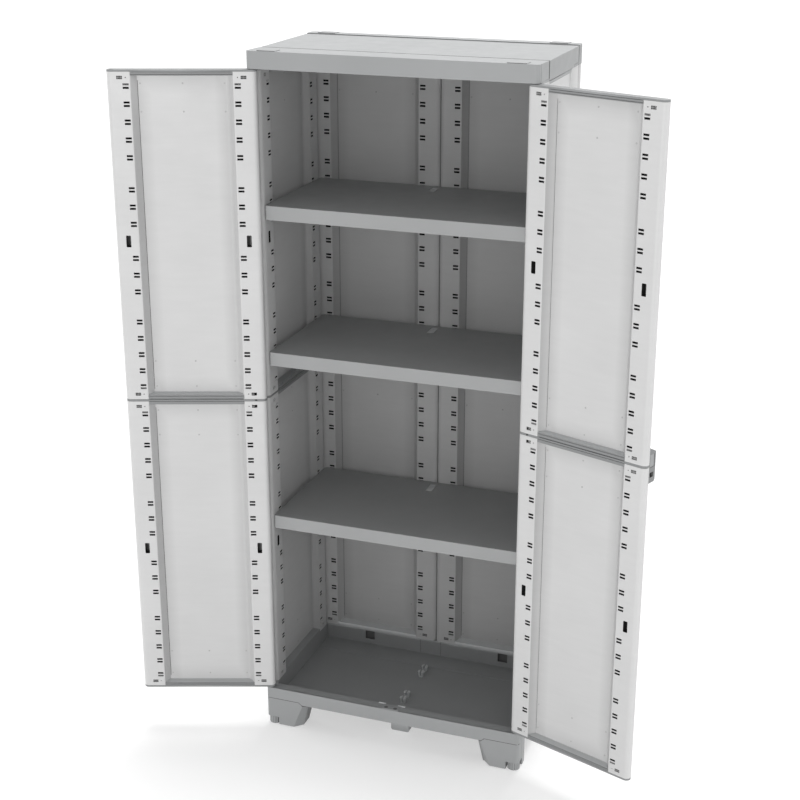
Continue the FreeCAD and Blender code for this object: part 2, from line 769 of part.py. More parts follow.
def make_lug():
    """The padlock lug on the left door's free edge, hollow towards the hinge."""
    edge = -panel_gap / 2 - lug_set_back
    inner_y = door_inner - lug_start_depth
    outer_y = door_inner - panel_thickness - lug_reach
    top = joint_height + lug_top_rise
    low = joint_height - lug_bottom_drop
    cut = lug_corner
    outline = [(inner_y, top), (outer_y, top - lug_top_drop), (outer_y, low + cut),
               (outer_y + cut, low), (inner_y, low)]
    body = prism([(edge, y, z) for y, z in outline], (-lug_width, 0, 0))
    wall = lug_wall
    room = [(inner_y, top - lug_slope_wall), (outer_y + wall, top - lug_top_drop - wall),
            (outer_y + wall, low + cut + wall / 2), (outer_y + wall + cut / 2, low + wall),
            (inner_y, low + wall)]
    hollow = prism([(edge - wall, y, z) for y, z in room], (-lug_width, 0, 0))
    hole_y = door_inner - lug_hole_depth_centre
    hole_z = joint_height - lug_hole_low - lug_hole_height / 2

    def hole_block(room_around, x0, x1):
        half_y = lug_hole_width / 2 + room_around
        half_z = lug_hole_height / 2 + room_around
        return box(x0, x1, hole_y - half_y, hole_y + half_y, hole_z - half_z, hole_z + half_z)

    lug = body.cut(hollow.cut(hole_block(wall, edge - lug_width, edge)))
    window = box(edge - lug_window_sink, edge + past, door_inner - lug_window_high_depth,
                 door_inner - lug_window_low_depth, joint_height - lug_window_bottom,
                 joint_height + lug_window_top)
    far_x = edge - lug_width - past
    door_edge = edge_points(free_edge_x, pin_y, half_thick + lug_room)
    door_edge += [(far_x, door_edge[-1][1]), (far_x, door_edge[0][1])]
    return lug.cut([hole_block(0, edge - lug_width - past, edge + past), window,
                    plan_prism(door_edge, low - past, top + past)])


def make_top_pin():
    """The closed left door's upper hinge pin: a square shank in the door, round in the cap."""
    return joined([square_bar(-pin_x, pin_y, wall_top - pin_in_rail, door_top, pin_shank_half),
                   cylinder(-pin_x, pin_y, door_top, cap_rail_bottom + pin_in_frame, hinge_pin_radius)])


def make_bottom_pin():
    """The closed left door's lower hinge pin, with the collar that the door's weight stands on."""
    return joined([square_bar(-pin_x, pin_y, door_bottom, wall_bottom + pin_in_rail, pin_shank_half),
                   octagon(-pin_x, pin_y, rim_top + pin_collar_room, door_bottom, pin_collar_radius),
                   cylinder(-pin_x, pin_y, rim_top - pin_in_frame, rim_top + pin_collar_room,
                            hinge_pin_radius)])


def make_left_door():
    """Every piece of the left door, closed."""
    panel = make_panel()
    return {
        "panel_lower": door_place(panel, lower_middle),
        "panel_upper": door_place(panel, upper_middle),
        "mid_rail": door_place(make_mid_rail(), joint_height),
        "top_rail": door_place(make_end_rail(1, end_rail_plate), wall_top),
        "bottom_rail": door_place(make_end_rail(-1, wall_bottom - door_bottom), wall_bottom),
        "top_pin": make_top_pin(),
        "bottom_pin": make_bottom_pin(),
        "lug": make_lug(),
    }


def make_catch_studs():
    """The two small studs at the left door's free edge, closed."""
    x = free_edge_x
    top = joined([square_bar(x, pin_y, wall_top - stud_length, door_top, pin_shank_half),
                  octagon(x, pin_y, door_top, door_top + stud_dome, stud_radius)])
    low = joined([square_bar(x, pin_y, door_bottom, wall_bottom + stud_length, pin_shank_half),
                  octagon(x, pin_y, door_bottom - stud_dome, door_bottom, stud_radius)])
    return Part.makeCompound([top, low])


def opened(shape):
    """A left-door shape swung open about the hinge."""
    copy = shape.copy()
    copy.rotate(Vector(-pin_x, pin_y, 0), Vector(0, 0, 1), -doors_open_angle)
    return copy


nodes = {"base_tray": make_base_tray(), "centre_foot": make_centre_foot(),
         "door_keeper": make_door_keeper()}

foot = make_foot()
leveller = make_leveller()
for corner, place in (("front_right", lambda shape: shape), ("front_left", mirrored_x),
                      ("rear_right", mirrored_y), ("rear_left", lambda shape: mirrored_y(mirrored_x(shape)))):
    nodes["foot_" + corner] = place(foot)
    nodes["leveller_" + corner] = place(leveller)

wall_panel = make_panel()
wall_rail = make_mid_rail()
for name, (x, y, turn) in wall_places.items():
    wall, side = name.split("_")
    nodes[wall + "_panel_" + side + "_lower"] = moved(wall_panel, x, y, lower_middle, turn)
    nodes[wall + "_panel_" + side + "_upper"] = moved(wall_panel, x, y, upper_middle, turn)
    nodes[wall + "_mid_rail_" + side] = moved(wall_rail, x, y, joint_height, turn)

nodes["cap_front_rail"] = make_cap_front_rail()
nodes["cap_panel"] = make_cap_panel()
nodes["cap_rear_rail"] = make_cap_rear_rail()
nodes["cap_clips"] = make_cap_clips()
for name, top in shelf_tops.items():
    nodes[name] = make_shelf(top)
nodes["shelf_clips"] = make_shelf_clips()

for name, shape in make_left_door().items():
    nodes["door_left_" + name] = opened(shape)
    nodes["door_right_" + name] = mirrored_x(opened(shape))
nodes["door_left_catch_studs"] = opened(make_catch_studs())

for name, shape in nodes.items():
    shape.exportStep("parts/" + name + ".step")
    print(name, "solids", len(shape.Solids), "volume", round(shape.Volume), "valid", shape.isValid())
print("nodes", len(nodes))
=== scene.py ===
import json
import math

import bmesh
import bpy
from mathutils import Matrix, Vector


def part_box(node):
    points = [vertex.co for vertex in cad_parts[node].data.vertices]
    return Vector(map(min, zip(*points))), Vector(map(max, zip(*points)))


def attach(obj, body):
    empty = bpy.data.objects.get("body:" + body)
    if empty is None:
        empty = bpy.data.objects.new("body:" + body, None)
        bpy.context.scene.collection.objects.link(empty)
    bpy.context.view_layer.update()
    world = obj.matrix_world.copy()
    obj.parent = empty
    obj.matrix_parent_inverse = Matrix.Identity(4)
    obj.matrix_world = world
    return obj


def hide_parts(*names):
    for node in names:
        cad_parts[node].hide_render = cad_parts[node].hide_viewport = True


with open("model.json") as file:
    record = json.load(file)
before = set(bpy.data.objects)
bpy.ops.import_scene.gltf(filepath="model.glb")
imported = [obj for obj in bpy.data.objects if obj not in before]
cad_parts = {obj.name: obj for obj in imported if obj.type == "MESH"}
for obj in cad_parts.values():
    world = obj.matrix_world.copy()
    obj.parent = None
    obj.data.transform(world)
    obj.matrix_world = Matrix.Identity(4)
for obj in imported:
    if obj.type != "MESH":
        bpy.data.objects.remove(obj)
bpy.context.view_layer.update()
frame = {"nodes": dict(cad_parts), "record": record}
mm = 0.001
bodies = frame["record"]["behaviour"]["bodies"]
bodyOfNode = {node: body for body, nodes in bodies.items() for node in nodes}
print("frame loaded with", len(frame["nodes"]), "nodes")


# Finishes of the moulded plastics, and two dark greys that paint shade
plasticLooks = {
    "panelPlastic": {"colour": 0.695, "tint": (1.0, 1.0, 1.0), "mottle": 0.022, "streak": 0.012,
                     "roughness": 0.48, "grain": 0.10, "specular": 0.40},
    "framePlastic": {"colour": 0.385, "tint": (0.980, 1.0, 1.010), "mottle": 0.025, "streak": 0.0,
                     "roughness": 0.42, "grain": 0.16, "specular": 0.15},
    "shelfPlastic": {"colour": 0.375, "tint": (0.985, 1.0, 1.005), "mottle": 0.030, "streak": 0.0,
                     "roughness": 0.46, "grain": 0.20, "specular": 0.20},
    # Painted shade: a dark grey for grooves, creases, joints and other faces in shade, and a near black for
    # the wells of hatched pockets
    "paintedShadeGrey": {"colour": 0.170, "tint": (1.0, 1.0, 1.0), "mottle": 0.030, "streak": 0.0,
                  "roughness": 0.60, "grain": 0.10, "specular": 0.15},
    "pocketPaintedShade": {"colour": 0.055, "tint": (1.0, 1.0, 1.0), "mottle": 0.030, "streak": 0.0,
                    "roughness": 0.60, "grain": 0.10, "specular": 0.15},
}
# Scales are in features per metre, and a stretch above 1 packs a pattern closer along that axis
plasticNoise = {
    "low": 0.3, "high": 0.7, "evenStretch": (1, 1, 1),
    "mottleScale": 7, "mottleDetail": 3,
    "streakScale": 13, "streakDetail": 5, "streakStretch": (1, 1, 7),
    "roughScale": 30, "roughDetail": 2, "roughSpread": 0.05,
    "grainScale": 700, "grainDetail": 2, "grainHeight": 0.2 * mm,
}
hollowShadeLook = {"low": 0.004, "high": 0.010, "scale": 60, "roughness": 0.8}


def makePlastic(name, look):
    material = bpy.data.materials.new(name)
    material.use_nodes = True
    nodes = material.node_tree.nodes
    links = material.node_tree.links
    shader = nodes["Principled BSDF"]
    coords = nodes.new("ShaderNodeTexCoord")

    def noise(kind, stretch=plasticNoise["evenStretch"]):
        mapping = nodes.new("ShaderNodeMapping")
        mapping.inputs["Scale"].default_value = stretch
        links.new(coords.outputs["Object"], mapping.inputs["Vector"])
        texture = nodes.new("ShaderNodeTexNoise")
        texture.inputs["Scale"].default_value = plasticNoise[kind + "Scale"]
        texture.inputs["Detail"].default_value = plasticNoise[kind + "Detail"]
        links.new(mapping.outputs["Vector"], texture.inputs["Vector"])
        return texture.outputs["Fac"]

    def spread(source, low, high):
        ramp = nodes.new("ShaderNodeMapRange")
        ramp.inputs["From Min"].default_value = plasticNoise["low"]
        ramp.inputs["From Max"].default_value = plasticNoise["high"]
        ramp.inputs["To Min"].default_value = low
        ramp.inputs["To Max"].default_value = high
        links.new(source, ramp.inputs["Value"])
        return ramp.outputs["Result"]

    def times(one, other):
        product = nodes.new("ShaderNodeMath")
        product.operation = "MULTIPLY"
        links.new(one, product.inputs[0])
        links.new(other, product.inputs[1])
        return product.outputs["Value"]

    shade = spread(noise("mottle"), 1 - look["mottle"], 1 + look["mottle"])
    if look["streak"]:
        streaks = noise("streak", plasticNoise["streakStretch"])
        shade = times(shade, spread(streaks, 1 - look["streak"], 1 + look["streak"]))
    # Painted shade and painted light: an attribute on the corners dims the colour, or lifts it when below 0.
    # A few of its values are plain tone changes
    paintedShadingAndTone = nodes.new("ShaderNodeAttribute")  # a piece without this attribute isn't darkened
    paintedShadingAndTone.attribute_name = "paintedShadingAndTone"
    kept = nodes.new("ShaderNodeMath")
    kept.operation = "SUBTRACT"
    kept.inputs[0].default_value = 1.0
    links.new(paintedShadingAndTone.outputs["Fac"], kept.inputs[1])
    shade = times(shade, kept.outputs["Value"])
    colour = nodes.new("ShaderNodeVectorMath")
    colour.operation = "SCALE"
    colour.inputs[0].default_value = [look["colour"] * part for part in look["tint"]]
    links.new(shade, colour.inputs["Scale"])
    links.new(colour.outputs["Vector"], shader.inputs["Base Color"])
    rough, off = look["roughness"], plasticNoise["roughSpread"]
    roughness = spread(noise("rough"), rough - off, rough + off)
    links.new(roughness, shader.inputs["Roughness"])
    bump = nodes.new("ShaderNodeBump")
    bump.inputs["Strength"].default_value = look["grain"]
    bump.inputs["Distance"].default_value = plasticNoise["grainHeight"]
    links.new(noise("grain"), bump.inputs["Height"])
    links.new(bump.outputs["Normal"], shader.inputs["Normal"])
    shader.inputs["Specular IOR Level"].default_value = look["specular"]
    return material


# Painted shade: nearly black, for the rooms behind open slots and holes
def buildHollowShade():
    material = bpy.data.materials.new("hollowPaintedShade")
    material.use_nodes = True
    nodes = material.node_tree.nodes
    shader = nodes["Principled BSDF"]
    shader.inputs["Roughness"].default_value = hollowShadeLook["roughness"]
    coords = nodes.new("ShaderNodeTexCoord")
    texture = nodes.new("ShaderNodeTexNoise")
    texture.inputs["Scale"].default_value = hollowShadeLook["scale"]
    ramp = nodes.new("ShaderNodeValToRGB")
    for stop, grey in zip(ramp.color_ramp.elements, (hollowShadeLook["low"], hollowShadeLook["high"])):
        stop.color = (grey, grey, grey, 1)
    links = material.node_tree.links
    links.new(coords.outputs["Object"], texture.inputs["Vector"])
    links.new(texture.outputs["Fac"], ramp.inputs["Fac"])
    links.new(ramp.outputs["Color"], shader.inputs["Base Color"])
    return material


finishes = {name: makePlastic(name, look) for name, look in plasticLooks.items()}
finishes["hollowPaintedShade"] = buildHollowShade()
finishOfSlot = {"panel_plastic": "panelPlastic", "frame_plastic": "framePlastic",
                "shelf_plastic": "shelfPlastic"}
slotOfNode = {part["node"]: part["material_slot"] for part in frame["record"]["subparts"]}
for node, part in frame["nodes"].items():
    part.data.materials.clear()
    part.data.materials.append(finishes[finishOfSlot[slotOfNode[node]]])
print("finishes made:", ", ".join(finishes))


# Angles in degrees, lengths that count as nothing, and the least cosine of a face that looks straight out
meshCare = {
    "sharpAngle": 40, "softAngle": 30, "rimAngle": 50, "flatAngle": 0.5,
    "weld": 0.01 * mm, "hair": 1e-6, "cutHair": 1e-7, "facing": 0.9999,
}
# Places of the extra finishes in the lists of a panel and a rail, and of a moulding. All of them paint shade
paintedHollowPlace, paintedWellPlace, paintedPocketPlace = 1, 2, 3
paintedShadePlace = 1


# Shared steps for new pieces, each of which replaces its node
def addPiece(mesh, name, node, extraFinishes):
    mesh.materials.append(finishes[finishOfSlot[slotOfNode[node]]])
    for finish in extraFinishes:
        mesh.materials.append(finishes[finish])
    mesh.polygons.foreach_set("use_smooth", [True] * len(mesh.polygons))
    mesh.set_sharp_from_angle(angle=math.radians(meshCare["sharpAngle"]))
    piece = bpy.data.objects.new(name, mesh)
    bpy.context.collection.objects.link(piece)
    shading = piece.modifiers.new("flatFaces", "WEIGHTED_NORMAL")
    shading.keep_sharp = True
    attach(piece, bodyOfNode[node])
    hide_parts(node)
    return piece


def meshFrom(bm, name):
    mesh = bpy.data.meshes.new(name)
    bm.to_mesh(mesh)
    bm.free()
    return mesh


def softenEdges(bm, edges, width, segments):
    bmesh.ops.bevel(bm, geom=edges, offset=width, offset_type="OFFSET", segments=segments, profile=0.5,
                    affect="EDGES", clamp_overlap=True, material=-1)


def sharpEdges(bm, angle=meshCare["softAngle"]):
    limit = math.radians(angle)
    return [edge for edge in bm.edges if len(edge.link_faces) == 2 and edge.calc_face_angle(0) > limit]


# A block whose near and far sides are given as (half width, low, high)
def addBlock(bm, near, far, nearY, farY):
    for vert in bmesh.ops.create_cube(bm, size=1.0)["verts"]:
        half, low, high = near if vert.co.y < 0 else far
        vert.co = Vector((half if vert.co.x > 0 else -half, nearY if vert.co.y < 0 else farY,
                          high if vert.co.z > 0 else low))


def joinInto(bm, part):
    mesh = meshFrom(part, "part")
    bm.from_mesh(mesh)
    bpy.data.meshes.remove(mesh)


# The corners of some faces, each once and always in the same order
def cornersOf(faces):
    return list(dict.fromkeys(vert for face in faces for vert in face.verts))


# Faces that look straight out at one depth, and pass a test on their middle
def facesAt(bm, level, test):
    found = []
    for face in bm.faces:
        spot = face.calc_center_median()
        facing = -face.normal.y > meshCare["facing"]
        if facing and abs(spot.y - level) < meshCare["hair"] and test(spot):
            found.append(face)
    return found


# Cuts those faces by planes square to an axis
def cutFaces(bm, test, axis, values, level=0.0):
    normal = (1, 0, 0) if axis == "x" else (0, 0, 1)
    for value in values:
        faces = facesAt(bm, level, test)
        edges = list(dict.fromkeys(edge for face in faces for edge in face.edges))
        bmesh.ops.bisect_plane(bm, geom=faces + edges + cornersOf(faces), dist=meshCare["cutHair"],
                               plane_co=[part * value for part in normal], plane_no=normal)


# Moves each face inwards on its own, with walls around it
def pushIn(bm, faces, depth):
    floors = bmesh.ops.extrude_discrete_faces(bm, faces=faces)["faces"]
    bmesh.ops.translate(bm, verts=cornersOf(floors), vec=(0, depth, 0))
    return floors


# Sinks the faces that pass the test, and gives their floors back
def sinkFaces(bm, test, depth, finish=0, level=0.0):
    floors = pushIn(bm, facesAt(bm, level, test), depth)
    for face in floors:
        face.material_index = finish
    return floors


# Below a thin wall, a pocket opens into the room behind, whose walls are painted near black as shade and
# whose floor gets the given finish
def deepenFaces(bm, floors, depth, finish=paintedHollowPlace):
    for face in floors:
        face.material_index = paintedHollowPlace
    for face in pushIn(bm, floors, depth):
        face.material_index = finish


def everyFace(spot):
    return True


def bothSides(values):
    return [side * value for side in (-1, 1) for value in values]


# The panel, in its own frame: x across, y the depth from the inner face, z up from the middle
panelShape = {
    "halfWidth": 167.0 * mm, "halfHeight": 384.5 * mm, "thickness": 22.4 * mm, "edgeSteps": 12,
    "flangeInner": 113.75 * mm, "fieldHalf": 101.75 * mm, "fieldDepth": 15.4 * mm, "fieldSkin": 3.0 * mm,
    "outerFieldHalf": 96.0 * mm, "outerSlope": 4.0 * mm,
    "flangeRound": 1.6 * mm, "outerRound": 1.5 * mm, "roundSteps": 3,
    "creaseRound": 0.8 * mm, "creaseSteps": 2, "softRound": 5.0 * mm, "softSteps": 6,
    "wall": 2.4 * mm, "slotWall": 0.4 * mm, "hollow": 11.0 * mm,
    "slotColumn": 124.15 * mm, "slotHalf": 6.8 * mm, "slotHalfHeight": 2.3 * mm,
    "slotSpacing": 7.7 * mm, "slotStep": 40.0 * mm, "slotWells": 5,
    "middleStart": 40.0 * mm, "middleCount": 3, "endStart": 193.1 * mm, "endCount": 5,
    "fingerX": 138.2 * mm, "fingerHalf": 5.6 * mm, "fingerHalfHeight": 13.8 * mm,
    "fingerRound": 3.4 * mm, "fingerSteps": 2, "fingerRoom": 16.0 * mm,
    "pocketX": 137.5 * mm, "pocketHalf": 6.3 * mm, "pocketZ": 372.0 * mm, "pocketHalfHeight": 3.75 * mm,
    "pocketWells": 4, "wellRib": 0.3 * mm, "wellDepth": 0.9 * mm,
    "dotX": 124.0 * mm, "dotHalf": 1.2 * mm,
    "creaseWidth": 1.4 * mm, "creaseDepth": 1.2 * mm, "creaseEnd": 364.0 * mm,
    "markX": (-95.0 * mm, 0.0, 93.5 * mm), "markZ": (357.0 * mm, 294.0 * mm),
    "markRadius": 2.4 * mm, "markTaper": 0.8, "markHeight": 0.6 * mm, "markSides": 16,
}
# How much parts of a panel are dimmed, and where: painted shade on the slopes, the field's edge, the rear
# corner and the middle joint, and a small plain dimming of the marks and the field. The crease's slope
# depends on the side of the hinge
panelPaintedShade = {
    "edgeBand": 32.0 * mm, "edge": 0.18, "field": 0.03, "mark": 0.32, "markReach": 1.0 * mm,
    "creaseSlope": {-1: 0.32, 0: 0.24, 1: 0.18}, "softSlope": 0.18,
    "slopeFade": 2.0 * mm, "slopeSkin": 0.3 * mm,
    "cornerStart": 160.0 * mm, "cornerEnd": 323.0 * mm, "corner": 0.75,
    "rearSlopeStart": 95.0 * mm, "rearSlopeEnd": 112.0 * mm, "rearSlope": 0.22,
    "wallFace": 312.0 * mm, "wallField": 327.5 * mm,
    "middleGap": 0.75 * mm, "middleEdge": 1.4 * mm, "middle": 0.45,
}


# Half of the plan outline with its rounded edge, then its mirror image
def outlineEdges(bm, recessHalf, fieldHalf, depth, outerHalf, outerSlope, outerDepth):
    panel = panelShape
    straight = panel["halfWidth"] - panel["thickness"] / 2
    start = bm.verts.new((0, depth, 0))
    inner = bm.verts.new((fieldHalf, depth, 0))
    lip = bm.verts.new((recessHalf, 0, 0))
    edge = bm.verts.new((straight, 0, 0))
    bm.edges.new((start, inner))
    bm.edges.new((inner, lip))
    bm.edges.new((lip, edge))
    spun = bmesh.ops.spin(bm, geom=[edge], cent=(straight, panel["thickness"] / 2, 0), axis=(0, 0, 1),
                          angle=math.pi, steps=panel["edgeSteps"])
    last = [item for item in spun["geom_last"] if isinstance(item, bmesh.types.BMVert)][0]
    outerLip = bm.verts.new((outerHalf + outerSlope, panel["thickness"], 0))
    outerInner = bm.verts.new((outerHalf, outerDepth, 0))
    end = bm.verts.new((0, outerDepth, 0))
    bm.edges.new((last, outerLip))
    bm.edges.new((outerLip, outerInner))
    bm.edges.new((outerInner, end))
    bmesh.ops.mirror(bm, geom=bm.verts[:] + bm.edges[:], axis="X", merge_dist=meshCare["hair"])
    bmesh.ops.remove_doubles(bm, verts=bm.verts, dist=meshCare["hair"])


def isLevel(edge, height):
    return all(abs(vert.co.z - height) < meshCare["cutHair"] for vert in edge.verts)


# Makes the outline in bm a closed solid between two heights
def extrudeUp(bm, low, high):
    bmesh.ops.translate(bm, verts=bm.verts, vec=(0, 0, low))
    made = bmesh.ops.extrude_edge_only(bm, edges=bm.edges[:])["geom"]
    top = [item for item in made if isinstance(item, bmesh.types.BMVert)]
    bmesh.ops.translate(bm, verts=top, vec=(0, 0, high - low))
    for height in (low, high):
        bmesh.ops.edgeloop_fill(bm, edges=[edge for edge in bm.edges if isLevel(edge, height)])
    bmesh.ops.recalc_face_normals(bm, faces=bm.faces[:])


# Upright edges at one (x, y) place
def uprightEdges(bm, x, y):
    hair = meshCare["hair"]
    found = []
    for edge in bm.edges:
        one, other = edge.verts
        if abs(one.co.z - other.co.z) > hair and abs(one.co.x - x) < hair and abs(one.co.y - y) < hair:
            found.append(edge)
    return found


def slotHeights():
    panel = panelShape
    heights = [panel["middleStart"] + panel["slotStep"] * step for step in range(panel["middleCount"])]
    heights += [panel["endStart"] + panel["slotStep"] * step for step in range(panel["endCount"])]
    return bothSides([pair + side * panel["slotSpacing"] / 2 for pair in heights for side in (-1, 1)])


# The sides of the small wells across a hatched pocket
def wellLines(centre, half, count):
    rib = panelShape["wellRib"]
    pitch = (2 * half + rib) / count
    lines = []
    for step in range(count):
        left = centre - half + step * pitch
        lines += [left, left + pitch - rib]
    return lines


def inWell(value, lines):
    return any(lines[i] < value < lines[i + 1] for i in range(0, len(lines), 2))


def inSlotColumn(spot):
    return abs(abs(spot.x) - panelShape["slotColumn"]) < panelShape["slotHalf"]


# The outermost slots are blind, with small wells, and the others open into the hollow flange. The wells'
# floors and the hollow are painted dark as shade
def cutSlots(bm):
    panel = panelShape
    column, half, low = panel["slotColumn"], panel["slotHalf"], panel["slotHalfHeight"]
    slots = slotHeights()
    blind = max(slots) - low

    def inSlot(spot):
        return inSlotColumn(spot) and any(abs(spot.z - height) < low for height in slots)

    def inBlind(spot):
        return inSlot(spot) and abs(spot.z) > blind

    wells = wellLines(column, half, panel["slotWells"])
    cutFaces(bm, everyFace, "x", bothSides([column - half, column + half]))
    cutFaces(bm, inSlotColumn, "z", [height + side * low for height in slots for side in (-1, 1)])
    cutFaces(bm, inBlind, "x", bothSides(wells))
    openFloors = sinkFaces(bm, lambda spot: inSlot(spot) and not inBlind(spot), panel["slotWall"])
    deepenFaces(bm, openFloors, panel["hollow"])
    sinkFaces(bm, lambda spot: inBlind(spot) and inWell(abs(spot.x), wells), panel["wellDepth"], paintedPocketPlace)


# One small hole beyond each end of a column of slots, its floor painted near black as shade
def cutDots(bm):
    panel = panelShape
    half, across, height = panel["dotHalf"], panel["dotX"], panel["pocketZ"]
    blind = max(slotHeights()) - panel["slotHalfHeight"]

    def inRow(spot):
        return inSlotColumn(spot) and abs(abs(spot.z) - height) < half

    cutFaces(bm, lambda spot: inSlotColumn(spot) and abs(spot.z) > blind, "z",
             bothSides([height - half, height + half]))
    cutFaces(bm, inRow, "x", bothSides([across - half, across + half]))
    sinkFaces(bm, lambda spot: inRow(spot) and abs(abs(spot.x) - across) < half, panel["wall"], paintedHollowPlace)


# Hatched pockets in the corners. On the side of the hinge, the one next to the middle rail is half open.
# Their wells' floors and the room behind the open half are painted dark as shade
def cutPockets(bm, midEnd, hinge):
    panel = panelShape
    outer, middle, height = panel["slotColumn"] + panel["slotHalf"], panel["pocketX"], panel["pocketZ"]
    half, high, rib = panel["pocketHalf"], panel["pocketHalfHeight"], panel["wellRib"] / 2
    wells = wellLines(middle, half, panel["pocketWells"])

    def inRow(spot):
        return abs(spot.x) > outer and abs(abs(spot.z) - height) < high

    def isOpen(spot):
        return inRow(spot) and middle < spot.x * hinge < middle + half and spot.z * midEnd > 0

    def inPocket(spot):
        return inRow(spot) and abs(abs(spot.x) - middle) < half and not isOpen(spot)

    def inSmallWell(spot):
        return inPocket(spot) and inWell(abs(spot.x), wells) and abs(abs(spot.z) - height) > rib

    cutFaces(bm, lambda spot: abs(spot.x) > outer, "z", bothSides([height - high, height + high]))
    cutFaces(bm, inRow, "x", bothSides([middle - half, middle, middle + half]))
    cutFaces(bm, inPocket, "z", bothSides([height - rib, height + rib]))
    cutFaces(bm, inPocket, "x", bothSides(wells))
    sinkFaces(bm, inSmallWell, panel["wellDepth"], paintedPocketPlace)
    deepenFaces(bm, sinkFaces(bm, isOpen, panel["wall"]), panel["hollow"])


# The long rounded slot half way up each flange, with walls painted near black and a grey floor as shade
def cutFingerSlots(bm):
    panel = panelShape
    outer, middle = panel["slotColumn"] + panel["slotHalf"], panel["fingerX"]
    half, high = panel["fingerHalf"], panel["fingerHalfHeight"]
    pocketEnd = panel["pocketZ"] - panel["pocketHalfHeight"]

    def inRow(spot):
        return abs(spot.x) > outer and abs(spot.z) < high

    def isFinger(spot):
        return abs(spot.z) < high / 2 and abs(abs(spot.x) - middle) < half / 2

    cutFaces(bm, lambda spot: abs(spot.x) > outer and abs(spot.z) < pocketEnd, "z", [-high, high])
    cutFaces(bm, inRow, "x", bothSides([middle - half, middle + half]))
    bmesh.ops.bevel(bm, geom=cornersOf(facesAt(bm, 0.0, isFinger)), offset=panel["fingerRound"],
                    offset_type="OFFSET", segments=panel["fingerSteps"], profile=0.5, affect="VERTICES",
                    clamp_overlap=True, material=-1)
    bm.normal_update()
    deepenFaces(bm, sinkFaces(bm, isFinger, panel["slotWall"]), panel["fingerRoom"], paintedWellPlace)


# A band round the field, for its edge dimmed by painted shade, and a fine crease at the foot of the left
# slope whose floor is painted dark as shade
def cutCrease(bm):
    panel = panelShape
    depth, fieldHalf, end = panel["fieldDepth"], panel["fieldHalf"], panel["creaseEnd"]
    start = panel["creaseRound"] - fieldHalf
    stop = start + panel["creaseWidth"]
    bandX, bandZ = fieldHalf - panelPaintedShade["edgeBand"], end - panelPaintedShade["edgeBand"]

    def inField(spot):
        return abs(spot.x) < fieldHalf

    def inStrip(spot):
        return start < spot.x < stop

    cutFaces(bm, inField, "x", [-bandX, bandX], depth)
    cutFaces(bm, inField, "z", [-bandZ, bandZ], depth)
    cutFaces(bm, inField, "x", [stop], depth)
    cutFaces(bm, inStrip, "z", [-end, end], depth)
    sinkFaces(bm, lambda spot: inStrip(spot) and abs(spot.z) < end, panel["creaseDepth"], paintedWellPlace, depth)


# Small raised rounds on the field
def addMarks(bm):
    panel = panelShape
    upright = Matrix.Rotation(math.radians(90), 3, "X")
    for x in panel["markX"]:
        for z in bothSides(panel["markZ"]):
            made = bmesh.ops.create_cone(bm, cap_ends=True, segments=panel["markSides"],
                                         radius1=panel["markRadius"],
                                         radius2=panel["markRadius"] * panel["markTaper"],
                                         depth=panel["markHeight"] * 2)["verts"]
            bmesh.ops.rotate(bm, verts=made, cent=(0, 0, 0), matrix=upright)
            bmesh.ops.translate(bm, verts=made, vec=(x, panel["fieldDepth"], z))


# Writes each corner's painted shade or painted light, or plain tone change
def writePaintedShading(mesh, values):
    mesh.attributes.new("paintedShadingAndTone", "FLOAT", "POINT").data.foreach_set("value", values)


# Painted shade dims the slopes and a band along the field's edge, the crease's slope by an amount that
# depends on the hinge. The small marks are dimmed too, and the rest of the field a little
def paintPanelShading(mesh, hinge):
    panel, shade, near = panelShape, panelPaintedShade, meshCare["weld"]
    fieldHalf, softFoot = panel["fieldHalf"], panel["fieldHalf"] - panel["softRound"]
    bandX, bandZ = fieldHalf - shade["edgeBand"] + near, panel["creaseEnd"] - shade["edgeBand"] + near
    values = []
    for vert in mesh.vertices:
        x, depth, across = vert.co.x, vert.co.y, abs(vert.co.x)
        above = panel["fieldDepth"] - depth
        inField = across < softFoot + near or x < 0 and across < fieldHalf
        onSlope = softFoot - near < across < panel["flangeInner"] and depth > shade["slopeSkin"]
        if inField and near < above < shade["markReach"]:
            values.append(shade["mark"])
        elif onSlope:
            slope = shade["creaseSlope"][hinge] if x < 0 else shade["softSlope"]
            fade = min(max(above / shade["slopeFade"], 0), 1)
            values.append(max(fade * slope, shade["edge"]))
        elif abs(above) < near:
            values.append(shade["edge"] if across > bandX or abs(vert.co.z) > bandZ else shade["field"])
        else:
            values.append(0.0)
    writePaintedShading(mesh, values)


